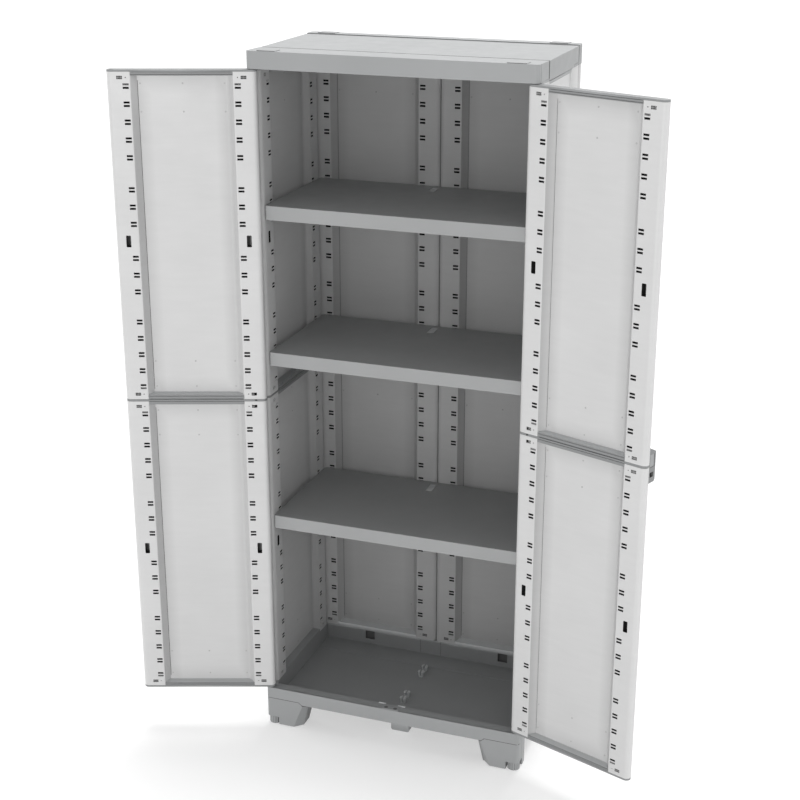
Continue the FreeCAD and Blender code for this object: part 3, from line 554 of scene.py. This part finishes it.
# midEnd is the end next to the middle rail, and hinge the side of the hinge, 0 in a wall
def buildPanel(midEnd, hinge):
    panel = panelShape
    fieldHalf, depth, thickness = panel["fieldHalf"], panel["fieldDepth"], panel["thickness"]
    outerHalf, outerBack = panel["outerFieldHalf"] - panel["outerSlope"], depth + panel["fieldSkin"]
    bm = bmesh.new()
    outlineEdges(bm, panel["flangeInner"], fieldHalf, depth, outerHalf, panel["outerSlope"], outerBack)
    extrudeUp(bm, -panel["halfHeight"], panel["halfHeight"])
    softenEdges(bm, uprightEdges(bm, -fieldHalf, depth), panel["creaseRound"], panel["creaseSteps"])
    softenEdges(bm, uprightEdges(bm, fieldHalf, depth), panel["softRound"], panel["softSteps"])
    for side in (-1, 1):
        for x, y, width in ((panel["flangeInner"], 0, panel["flangeRound"]),
                            (panel["outerFieldHalf"], thickness, panel["outerRound"]),
                            (outerHalf, outerBack, panel["outerRound"])):
            softenEdges(bm, uprightEdges(bm, side * x, y), width, panel["roundSteps"])
    bmesh.ops.recalc_face_normals(bm, faces=bm.faces[:])
    bm.normal_update()
    cutSlots(bm)
    cutDots(bm)
    cutPockets(bm, midEnd, hinge)
    cutFingerSlots(bm)
    cutCrease(bm)
    addMarks(bm)
    mesh = meshFrom(bm, "panelMaster")
    paintPanelShading(mesh, hinge)
    return mesh


# How far each wall or door turns its panels, in degrees about Z, and the side of its hinge
doorSwing = 20.0
turnOfGroup = {"side_left": 90.0, "side_right": -90.0, "back_left": 0.0, "back_right": 0.0,
               "door_left": doorSwing, "door_right": -doorSwing}
hingeSide = {"door_left": 1, "door_right": -1}


# Puts a panel-frame shape where the node is, with its middle depth on the node's middle
def placeMatrix(node, turn, lift=None):
    low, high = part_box(node)
    centre = (low + high) / 2
    if lift is not None:
        centre.z = lift
    inward = Matrix.Translation((0, -panelShape["thickness"] / 2, 0))
    return Matrix.Translation(centre) @ Matrix.Rotation(math.radians(turn), 4, "Z") @ inward


def groupNode(group, part, level=""):
    wall, side = group.split("_")
    if wall == "door":
        return "_".join(word for word in (wall, side, part, level) if word)
    return "_".join(word for word in (wall, part, side, level) if word)


# The two back panels meet in the middle, so that no light comes between them, and painted shade dims the
# edges where they meet
def closeMiddle(mesh):
    gap, bend = panelPaintedShade["middleGap"], panelShape["thickness"] / 2
    shade = mesh.attributes["paintedShadingAndTone"].data
    for vert in mesh.vertices:
        off = abs(vert.co.x) - gap
        if off < bend:
            vert.co.x = math.copysign(off * (1 + gap / bend), vert.co.x)
            if off < panelPaintedShade["middleEdge"]:
                shade[vert.index].value = panelPaintedShade["middle"]


# Painted shade: where a side wall meets the back its rounded edge is dimmed strongly, and the slope before it
# a little
def paintCornerShade(mesh):
    shade = panelPaintedShade
    written = mesh.attributes["paintedShadingAndTone"].data
    for vert in mesh.vertices:
        across, along = abs(vert.co.x), vert.co.y
        beforeCorner = shade["rearSlopeStart"] < along < shade["rearSlopeEnd"]
        if along > shade["cornerStart"] and across < shade["cornerEnd"]:
            written[vert.index].value = shade["corner"]
        elif beforeCorner and shade["wallFace"] < across < shade["wallField"]:
            written[vert.index].value = max(written[vert.index].value, shade["rearSlope"])


panelFinishes = ("hollowPaintedShade", "paintedShadeGrey", "pocketPaintedShade")
masters = {}
insidePieces = []  # left out by the front lamp
for group, turn in turnOfGroup.items():
    for level, midEnd in (("lower", 1), ("upper", -1)):
        kind = (midEnd, hingeSide.get(group, 0))
        if kind not in masters:
            masters[kind] = buildPanel(*kind)
        node = groupNode(group, "panel", level)
        mesh = masters[kind].copy()
        mesh.transform(placeMatrix(node, turn))
        if group.startswith("back"):
            closeMiddle(mesh)
        if group.startswith("side"):
            paintCornerShade(mesh)
        piece = addPiece(mesh, node + "_shell", node, panelFinishes)
        if group not in hingeSide:
            insidePieces.append(piece)
print("panels placed, each of", len(mesh.polygons), "faces")


# Rails: a rounded plate between or beyond the panels, with sloped and grooved bars across the field
railShape = {
    "midPlate": 3.0 * mm, "topPlate": 4.5 * mm, "bottomPlate": 5.2 * mm,
    "plateRound": 1.3 * mm, "plateSteps": 3, "barRound": 0.5 * mm, "barSteps": 2,
    "midSetBack": 3.0 * mm, "endSetBack": 0.25 * mm, "fit": 0.3 * mm,
    "upperLip": 8.0 * mm, "lowerLip": 10.2 * mm, "lipSlope": 2.8 * mm, "barLift": 2.9 * mm,
    "middleHalf": 1.0 * mm, "endGap": 0.8 * mm,
    "upperLine": 4.4 * mm, "lowerLine": 2.5 * mm, "endLine": 5.7 * mm,
    "lineHalf": 0.8 * mm, "lineDepth": 1.6 * mm, "lineInset": 0.8 * mm,
    "holeX": 141.5 * mm, "holeHalf": 2.6 * mm, "holeHalfHeight": 1.6 * mm, "holeDepth": 3.0 * mm,
}
# Painted shade on a rail's plate ends, and painted light on its slope when below 0
railPaintedShading = {
    "plate": 0.22, "plateSkin": 1.0 * mm, "slope": -0.36,
    "lipSkin": 1.0 * mm, "slopeSkin": 0.2 * mm, "slopeReach": 1.0 * mm,
}


# A small hole in the plate, on the side of the hinge, its floor painted near black as shade
def cutHole(bm, hinge):
    rail = railShape
    middle, half, high = rail["holeX"], rail["holeHalf"], rail["holeHalfHeight"]

    def onSide(spot):
        return spot.x * hinge > panelShape["flangeInner"]

    def inRow(spot):
        return onSide(spot) and abs(spot.z) < high

    cutFaces(bm, onSide, "z", [-high, high])
    cutFaces(bm, inRow, "x", [hinge * (middle - half), hinge * (middle + half)])
    sinkFaces(bm, lambda spot: inRow(spot) and abs(spot.x * hinge - middle) < half, rail["holeDepth"],
              paintedHollowPlace)


# Across the field, the plate is set back from the flanges' faces
def railPlate(bm, low, high, setBack, hinge=0):
    panel = panelShape
    outerHalf, outerBack = panel["outerFieldHalf"] - panel["outerSlope"], panel["thickness"] - setBack
    part = bmesh.new()
    outlineEdges(part, panel["flangeInner"], panel["flangeInner"] - setBack, setBack, outerHalf,
                 panel["outerSlope"], outerBack)
    extrudeUp(part, low, high)
    part.normal_update()
    if hinge:
        cutHole(part, hinge)
    # Painted shade: the groove between a mid rail's bars is painted dark
    if setBack > railShape["endSetBack"]:  # the groove between a mid rail's bars is dark
        for face in facesAt(part, setBack, lambda spot: abs(spot.x) < panel["flangeInner"]):
            face.material_index = paintedWellPlace
    rims = [edge for edge in sharpEdges(part, meshCare["rimAngle"])
            if isLevel(edge, low) or isLevel(edge, high)]
    softenEdges(part, rims, railShape["plateRound"], railShape["plateSteps"])
    joinInto(bm, part)


# The bars on the inner and the outer side. They start beside the rail's middle and end in a lip
def railBars(bm, direction, start, plateEnd, line, lip):
    panel, rail = panelShape, railShape
    tip = plateEnd + lip
    span = sorted((direction * start, direction * tip))
    deepSpan = sorted((direction * start, direction * (tip + rail["lipSlope"])))
    nearHalf, farHalf = panel["flangeInner"] - rail["fit"], panel["fieldHalf"] - rail["fit"]
    lineLow, lineHigh = (direction * (plateEnd + line) + side * rail["lineHalf"] for side in (-1, 1))
    lineEnd = nearHalf - rail["lineInset"]

    def inLine(spot):
        return lineLow < spot.z < lineHigh

    part = bmesh.new()
    addBlock(part, (nearHalf, *span), (farHalf, *deepSpan), 0, panel["fieldDepth"])
    bmesh.ops.recalc_face_normals(part, faces=part.faces[:])
    part.normal_update()
    cutFaces(part, everyFace, "z", [lineLow, lineHigh])
    cutFaces(part, inLine, "x", [-lineEnd, lineEnd])
    # Painted shade: each line's floor is painted dark
    sinkFaces(part, lambda spot: inLine(spot) and abs(spot.x) < lineEnd, rail["lineDepth"], paintedWellPlace)
    outerHalf = panel["outerFieldHalf"] - rail["fit"]
    addBlock(part, (outerHalf - panel["outerSlope"], *span), (outerHalf, *span),
             panel["fieldDepth"] + panel["fieldSkin"], panel["thickness"])
    bmesh.ops.recalc_face_normals(part, faces=part.faces[:])
    softenEdges(part, sharpEdges(part), rail["barRound"], rail["barSteps"])
    joinInto(bm, part)


# Painted shade dims the plate's ends beside the bars, and painted light lifts the slope above the bars
def paintRailShading(mesh, slopeStart):
    panel, shade = panelShape, railPaintedShading
    slopeEnd = panel["fieldDepth"] + shade["slopeReach"]
    values = []
    for vert in mesh.vertices:
        across, depth = abs(vert.co.x), vert.co.y
        onPlate = across > panel["flangeInner"] - shade["plateSkin"]
        onSlope = shade["slopeSkin"] < depth < slopeEnd and vert.co.z > slopeStart
        values.append(shade["plate"] if onPlate else shade["slope"] if onSlope else 0.0)
    writePaintedShading(mesh, values)
    return mesh


def buildMidRail(hinge):
    rail = railShape
    bm, bars = bmesh.new(), bmesh.new()
    railPlate(bm, -rail["midPlate"], rail["midPlate"], rail["midSetBack"], hinge)
    railBars(bars, -1, rail["middleHalf"], rail["midPlate"], rail["lowerLine"], rail["lowerLip"])
    railBars(bars, 1, rail["middleHalf"], rail["midPlate"], rail["upperLine"], rail["upperLip"])
    bmesh.ops.translate(bars, verts=bars.verts, vec=(0, 0, rail["barLift"]))
    joinInto(bm, bars)
    slopeStart = rail["midPlate"] + rail["upperLip"] + rail["barLift"] - railPaintedShading["lipSkin"]
    return paintRailShading(meshFrom(bm, "midRailMaster"), slopeStart)


# direction is 1 for a rail above its panel, and -1 below it
def buildEndRail(direction, plate):
    rail = railShape
    bm = bmesh.new()
    railPlate(bm, *sorted((0, direction * plate)), rail["endSetBack"])
    railBars(bm, -direction, rail["endGap"], 0, rail["endLine"], rail["upperLip"])
    return paintRailShading(meshFrom(bm, "endRailMaster"), rail["upperLip"] - railPaintedShading["lipSkin"])


midRails = {side: buildMidRail(side) for side in (-1, 0, 1)}
# Each end rail's shape, the panel that it sits on, and the corner of that panel's box that it touches
endRails = {"top_rail": (buildEndRail(1, railShape["topPlate"]), "panel_upper", 1),
            "bottom_rail": (buildEndRail(-1, railShape["bottomPlate"]), "panel_lower", 0)}
railFinishes = ("hollowPaintedShade", "paintedShadeGrey")
for group, turn in turnOfGroup.items():
    node = groupNode(group, "mid_rail")
    mesh = midRails[hingeSide.get(group, 0)].copy()
    mesh.transform(placeMatrix(node, turn))
    if group.startswith("back"):
        closeMiddle(mesh)
    piece = addPiece(mesh, node + "_bar", node, railFinishes)
    if group not in hingeSide:
        insidePieces.append(piece)
for group in hingeSide:
    for part, (rail, panel, corner) in endRails.items():
        node = group + "_" + part
        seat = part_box(group + "_" + panel)[corner].z
        mesh = rail.copy()
        mesh.transform(placeMatrix(node, turnOfGroup[group], seat))
        addPiece(mesh, node + "_bar", node, railFinishes)
print("rails placed")


# Solids whose outline is already right keep it, and get moulded edges this many mm wide. The first
# word that a node's name holds counts
softWidths = {
    "base_tray": 1.0, "centre_foot": 1.0, "door_keeper": 0.4, "foot": 1.4, "leveller": 0.5,
    "cap_front_rail": 1.6, "cap_panel": 1.6, "cap_rear_rail": 1.6, "cap_clips": 0.5,
    "shelf_lower": 1.2, "shelf_middle": 1.2, "shelf_upper": 1.2, "shelf_clips": 0.5,
    "lug": 0.8, "pin": 0.4, "catch_studs": 0.4,
}


# Where painted shade darkens the mouldings and painted light lifts them: grooves, joints, the valleys between
# ribs, small tips. The lug is dimmed as a whole, its window less.
# A plain number that ends in a way, such as ribUp, is the part of a face's normal along that way
mouldingPaintedShading = {
    "skin": 0.3 * mm, "capBack": 3.0 * mm, "capFront": 1.2 * mm, "capRear": 2.4 * mm, "clipFront": 0.6,
    "footJoint": 1.7 * mm, "footSlope": 245.9 * mm, "footTurn": 40.5, "footUp": 0.98, "footFront": 180.0 * mm,
    "footEdge": 232.0 * mm, "trayDown": (-0.98, -0.1), "ribValley": 1.15 * mm, "ribUp": 0.3,
    "rimGroove": 6.0 * mm, "rimDepth": 4.0 * mm, "rimUp": 0.5,
    "seams": (-42.0 * mm, 15.0 * mm), "seamHalf": 1.1 * mm, "seamFront": 0.5, "backWall": 100.0 * mm,
    "pocketX": 187.5 * mm, "pocketHalf": 13.5 * mm, "pocketLow": 84.5 * mm, "pocketHigh": 109.5 * mm,
    "pocketRear": 0.3, "lugSide": 0.93,
    "holeEdge": 2.0 * mm, "holeGrow": 1.35, "holeSides": 16, "holeLift": 0.1 * mm,
    "tabHalf": 60.0 * mm, "tabPaintedLight": -0.9, "pinLow": 60.0 * mm, "pinPaintedLight": -0.8,
    "lug": 0.28, "windowStart": 0.9 * mm, "windowEnd": 1.5 * mm, "windowPale": -0.05,
}
edgeSteps = 3
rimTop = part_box("door_keeper")[0].z
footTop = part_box("foot_front_left")[1].z
capJoints = (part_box("cap_front_rail")[1].y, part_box("cap_panel")[1].y)


# The way a door's lug faces: out from the free edge
def lugFront(node):
    side = -1 if "left" in node else 1
    return Matrix.Rotation(math.radians(-side * doorSwing), 3, "Z") @ Vector((side, 0, 0))


# The top of a foot as planes (place, normal): the level part and its sloping inner end
def footTops(low, high):
    side = -1 if low.x < 0 else 1
    turn = math.radians(mouldingPaintedShading["footTurn"])
    slope = Vector((-side * math.sin(turn), 0, math.cos(turn)))
    return [(Vector((0, 0, high.z)), Vector((0, 0, 1))),
            (Vector((side * mouldingPaintedShading["footSlope"], 0, high.z)), slope)]


def isCapShade(centre, high):
    near = min(abs(centre.y - joint) for joint in capJoints)
    return near < mouldingPaintedShading["capBack"] and high.z - centre.z > mouldingPaintedShading["skin"]


# Painted shade on the tray: the groove behind the rim, the joint over a foot, the seams and the pockets of
# the rear wall
def isTrayShade(centre, normal, low):
    shade = mouldingPaintedShading
    below, across = rimTop - centre.z, abs(centre.x)
    atRim = centre.y < low.y + shade["rimGroove"] and shade["skin"] < below < shade["rimDepth"]
    steepest, flattest = shade["trayDown"]
    atFoot = steepest < normal.z < flattest and centre.z < footTop and across > shade["footEdge"]
    onSeam = any(abs(centre.x - seam) < shade["seamHalf"] for seam in shade["seams"])
    beside = abs(across - shade["pocketX"]) < shade["pocketHalf"]
    inPocket = beside and shade["pocketLow"] < centre.z < shade["pocketHigh"]
    inWall = onSeam and normal.y < -shade["seamFront"] or inPocket and normal.y < shade["pocketRear"]
    return atRim and normal.z > shade["rimUp"] or atFoot or inWall and centre.y > shade["backWall"]


# Faces painted dark as shade: the cap's joints, the clips' fronts, the joints over the feet, the levellers'
# valleys, the lugs' sides and the tray's grooves
def isPaintedShade(node, face, low, high):
    shade = mouldingPaintedShading
    centre, normal = face.calc_center_median(), face.normal
    if node == "cap_clips":
        return normal.y < -shade["clipFront"]
    if node.startswith("cap_"):
        return isCapShade(centre, high)
    if node.startswith("foot"):
        depth = max((centre - place).dot(way) for place, way in footTops(low, high))
        atEnd = normal.z < shade["footUp"] and abs(centre.y) > shade["footFront"]
        return atEnd and depth > -shade["footJoint"]
    if node.startswith("leveller"):
        spoke = (centre - (low + high) / 2).xy.length
        return abs(normal.z) < shade["ribUp"] and spoke < (high.x - low.x) / 2 - shade["ribValley"]
    if node.endswith("lug"):
        return abs(normal.dot(lugFront(node))) < shade["lugSide"]
    return node == "base_tray" and isTrayShade(centre, normal, low)


# Planes that cut a thin strip off a moulding, to be painted dark as shade
def cutStrips(bm, node, low, high):
    shade = mouldingPaintedShading
    planes = []
    if node.startswith("cap_") and node != "cap_clips":
        planes = [(Vector((0, joint + away, 0)), Vector((0, 1, 0)))
                  for joint in capJoints for away in (-shade["capFront"], shade["capRear"])]
    if node.startswith("foot"):
        planes = [(place - way * shade["footJoint"], way) for place, way in footTops(low, high)]
    for place, way in planes:
        everything = bm.verts[:] + bm.edges[:] + bm.faces[:]
        bmesh.ops.bisect_plane(bm, geom=everything, dist=meshCare["cutHair"], plane_co=place, plane_no=way)


# Small corrections towards the photo, before the edges are rounded
reshapeBy = {
    "capFall": 1.8 * mm, "topSkin": 0.5 * mm, "clipRoot": 2.0 * mm,
    "soleHigh": 6.0 * mm, "soleInner": 260.0 * mm, "soleShift": 13.0 * mm, "soleFront": 170.0 * mm,
    "heelHigh": 16.0 * mm, "heelDrop": 7.4 * mm, "heelShift": -1.6 * mm,
    "topHigh": 60.0 * mm, "topInner": 224.0 * mm, "topShift": 4.5 * mm,
    "pinHigh": 80.0 * mm, "pinSpread": 1.5, "pinPlaces": (-90.0 * mm, -61.0 * mm, 50.0 * mm, 79.0 * mm),
}


# Each piece of the cap's top falls towards its rear joint
def slopeTop(bm, low, high):
    fall, skin = reshapeBy["capFall"], reshapeBy["topSkin"]
    for vert in bm.verts:
        if high.z - vert.co.z < skin:
            onFront = vert.co.y < capJoints[0] + skin
            start, end = (low.y, capJoints[0]) if onFront else capJoints
            vert.co.z -= fall * (vert.co.y - start) / (end - start)


# The clips reach down to the fallen top
def rootClips(bm, low, high):
    for vert in bm.verts:
        if vert.co.z - low.z < reshapeBy["topSkin"]:
            vert.co.z -= reshapeBy["clipRoot"]


# The inner part of a foot's sole reaches further in and starts further back than the solid's, its heel
# lies lower, and the inner edge of its top lies further out
def squareFoot(bm, low, high):
    size = reshapeBy
    for vert in bm.verts:
        across, along = abs(vert.co.x), abs(vert.co.y)
        if vert.co.z > size["topHigh"]:
            across += size["topShift"] if across < size["topInner"] else 0
        elif across > size["soleInner"] or vert.co.z > size["heelHigh"]:
            continue
        elif vert.co.z < size["soleHigh"]:
            across -= size["soleShift"]
            along -= size["soleShift"] if along > size["soleFront"] else 0
        else:
            across += size["heelShift"]
            vert.co.z -= size["heelDrop"]
        vert.co.x, vert.co.y = math.copysign(across, vert.co.x), math.copysign(along, vert.co.y)


# The snap pins' heads are wider than in the solid
def spreadPins(bm, low, high):
    size = reshapeBy
    for vert in bm.verts:
        if vert.co.z > size["pinHigh"]:
            middle = min(size["pinPlaces"], key=lambda place: abs(place - vert.co.y))
            vert.co.x *= size["pinSpread"]
            vert.co.y = middle + (vert.co.y - middle) * size["pinSpread"]


# Painted shade: dark discs laid in the keeper's holes
def paintHoleShade(bm, low, high):
    shade = mouldingPaintedShading
    edge = shade["holeEdge"]
    inner = [vert.co.copy() for vert in bm.verts
             if abs(vert.co.x) < high.x - edge and low.y + edge < vert.co.y < high.y - edge]
    for side in (-1, 1):
        ring = [place for place in inner if place.x * side > 0]
        middle = sum(ring, Vector()) / len(ring)
        radius = max((place - middle).xy.length for place in ring) * shade["holeGrow"]
        made = bmesh.ops.create_circle(bm, cap_ends=True, segments=shade["holeSides"], radius=radius)["verts"]
        bmesh.ops.translate(bm, verts=made, vec=(middle.x, middle.y, high.z + shade["holeLift"]))
        for face in {face for vert in made for face in vert.link_faces}:
            face.material_index = paintedShadePlace


reshapes = {"cap_front_rail": slopeTop, "cap_panel": slopeTop, "cap_clips": rootClips, "foot": squareFoot,
            "centre_foot": spreadPins}


# How much a corner of a moulding is dimmed, or lifted when below 0. Painted light lifts the tray's tabs and
# the pins; a lug is dimmed as a whole, its window less
def paintedLightAndToneOfCorner(node, place, front):
    shade = mouldingPaintedShading
    if node == "base_tray":
        onTab = place.z > rimTop + shade["skin"] and abs(place.x) < shade["tabHalf"] and place.y < 0
        return shade["tabPaintedLight"] if onTab else 0.0
    if node == "centre_foot":
        return shade["pinPaintedLight"] if place.z > shade["pinLow"] else 0.0
    if node.endswith("lug"):
        inWindow = shade["windowStart"] < front - place.dot(lugFront(node)) < shade["windowEnd"]
        return shade["windowPale"] if inWindow else shade["lug"]
    return 0.0


def dressNode(node, width):
    low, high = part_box(node)
    bm = bmesh.new()
    bm.from_mesh(frame["nodes"][node].data)
    bmesh.ops.remove_doubles(bm, verts=bm.verts, dist=meshCare["weld"])
    bmesh.ops.dissolve_limit(bm, angle_limit=math.radians(meshCare["flatAngle"]), verts=bm.verts,
                             edges=bm.edges)
    for start, reshape in reshapes.items():
        if node.startswith(start):
            reshape(bm, low, high)
    softenEdges(bm, sharpEdges(bm), width * mm, edgeSteps)
    cutStrips(bm, node, low, high)
    bm.normal_update()
    # Faces that pass the test are painted dark as shade
    for face in bm.faces:
        face.material_index = paintedShadePlace if isPaintedShade(node, face, low, high) else 0
    if node == "door_keeper":
        paintHoleShade(bm, low, high)
    mesh = meshFrom(bm, node + "_moulding")
    # Each corner's painted light or plain dimming, from the table above
    front = max(vert.co.dot(lugFront(node)) for vert in mesh.vertices)
    writePaintedShading(mesh, [paintedLightAndToneOfCorner(node, vert.co, front) for vert in mesh.vertices])
    addPiece(mesh, node + "_moulding", node, ("paintedShadeGrey",))


for node in frame["nodes"]:
    widths = [width for word, width in softWidths.items() if word in node]
    if widths:
        dressNode(node, widths[0])
print("mouldings dressed")


# Floor, light and camera
stageLook = {
    "floorColour": 0.52, "floorSize": 30.0, "floorGlow": 0.50, "floorRoughness": 0.9, "floorSpecular": 0.1,
    "skyStrength": 0.48, "lampReach": 4.0,
}
# Azimuth 0 is in front and 90 on the right, in degrees
lampLooks = {
    "topLamp": {"azimuth": 180.0, "elevation": 80.0, "strength": 2.1, "spread": 26.0},
    "frontLamp": {"azimuth": 0.0, "elevation": -1.5, "strength": 1.2, "spread": 3.0},
    "rightLamp": {"azimuth": 102.0, "elevation": 10.0, "strength": 0.85, "spread": 20.0},
    "leftLamp": {"azimuth": -102.0, "elevation": 10.0, "strength": 1.0, "spread": 20.0},
    "rearLamp": {"azimuth": 180.0, "elevation": 40.0, "strength": 0.7, "spread": 20.0},
}
# The lens and the sensor in mm, the place in metres, the angles in degrees
cameraLook = {
    "lens": 69.93, "sensor": 36.0, "place": (1.1678, -3.348, 2.1488), "tilt": 70.015, "pan": 19.85,
}


# A value that is high for rays that show the background, and low for light on the object
def seenByEye(tree, low, high):
    path = tree.nodes.new("ShaderNodeLightPath")
    seen = path.outputs["Is Camera Ray"]
    for ray in ("Is Glossy Ray", "Is Transmission Ray"):
        either = tree.nodes.new("ShaderNodeMath")
        either.operation = "MAXIMUM"
        tree.links.new(seen, either.inputs[0])
        tree.links.new(path.outputs[ray], either.inputs[1])
        seen = either.outputs["Value"]
    value = tree.nodes.new("ShaderNodeMapRange")
    value.inputs["To Min"].default_value = low
    value.inputs["To Max"].default_value = high
    tree.links.new(seen, value.inputs["Value"])
    return value.outputs["Result"]


def addFloor():
    bm = bmesh.new()
    bmesh.ops.create_grid(bm, x_segments=1, y_segments=1, size=stageLook["floorSize"])
    mesh = meshFrom(bm, "studioFloor")
    floor = bpy.data.objects.new("studioFloor", mesh)
    bpy.context.collection.objects.link(floor)
    material = bpy.data.materials.new("floorPaper")
    material.use_nodes = True
    shader = material.node_tree.nodes["Principled BSDF"]
    grey = stageLook["floorColour"]
    shader.inputs["Base Color"].default_value = (grey, grey, grey, 1)
    shader.inputs["Roughness"].default_value = stageLook["floorRoughness"]
    shader.inputs["Specular IOR Level"].default_value = stageLook["floorSpecular"]
    shader.inputs["Emission Color"].default_value = (1, 1, 1, 1)
    glow = seenByEye(material.node_tree, 0.0, stageLook["floorGlow"])
    material.node_tree.links.new(glow, shader.inputs["Emission Strength"])
    mesh.materials.append(material)
    return floor


def addSky():
    world = bpy.data.worlds.new("studioSky")
    bpy.context.scene.world = world
    world.use_nodes = True
    light = world.node_tree.nodes["Background"]
    light.inputs["Color"].default_value = (1, 1, 1, 1)
    strength = seenByEye(world.node_tree, stageLook["skyStrength"], 1.0)
    world.node_tree.links.new(strength, light.inputs["Strength"])


# A collection that leaves its pieces out of a lamp's light, or out of its shadows
def leftOut(name, pieces):
    group = bpy.data.collections.new(name)
    for piece in pieces:
        group.objects.link(piece)
    for entry in group.collection_objects:
        entry.light_linking.link_state = "EXCLUDE"
    return group


# A lamp gives no light to the skipped pieces, and the clear ones cast no shadow in it
def addLamp(name, look, skipped=(), clear=()):
    lamp = bpy.data.lights.new(name, "SUN")
    lamp.energy = look["strength"]
    lamp.angle = math.radians(look["spread"])
    holder = bpy.data.objects.new(name, lamp)
    bpy.context.collection.objects.link(holder)
    side, rise = math.radians(look["azimuth"]), math.radians(look["elevation"])
    towards = Vector((math.sin(side) * math.cos(rise), -math.cos(side) * math.cos(rise), math.sin(rise)))
    holder.location = towards * stageLook["lampReach"]
    holder.rotation_euler = towards.to_track_quat("Z", "Y").to_euler()
    if skipped:
        holder.light_linking.receiver_collection = leftOut(name + "Skips", skipped)
    if clear:
        holder.light_linking.blocker_collection = leftOut(name + "Clear", clear)


floor = addFloor()
addSky()
for name, look in lampLooks.items():
    if name == "frontLamp":
        addLamp(name, look, insidePieces, [floor])
    else:
        addLamp(name, look)
camera = bpy.data.objects.new("studioCamera", bpy.data.cameras.new("studioCamera"))
bpy.context.collection.objects.link(camera)
camera.data.lens = cameraLook["lens"]
camera.data.sensor_width = cameraLook["sensor"]
camera.location = cameraLook["place"]
camera.rotation_euler = (math.radians(cameraLook["tilt"]), 0, math.radians(cameraLook["pan"]))
bpy.context.scene.camera = camera
bpy.context.scene.view_settings.view_transform = "Standard"
print("floor, light and camera set")
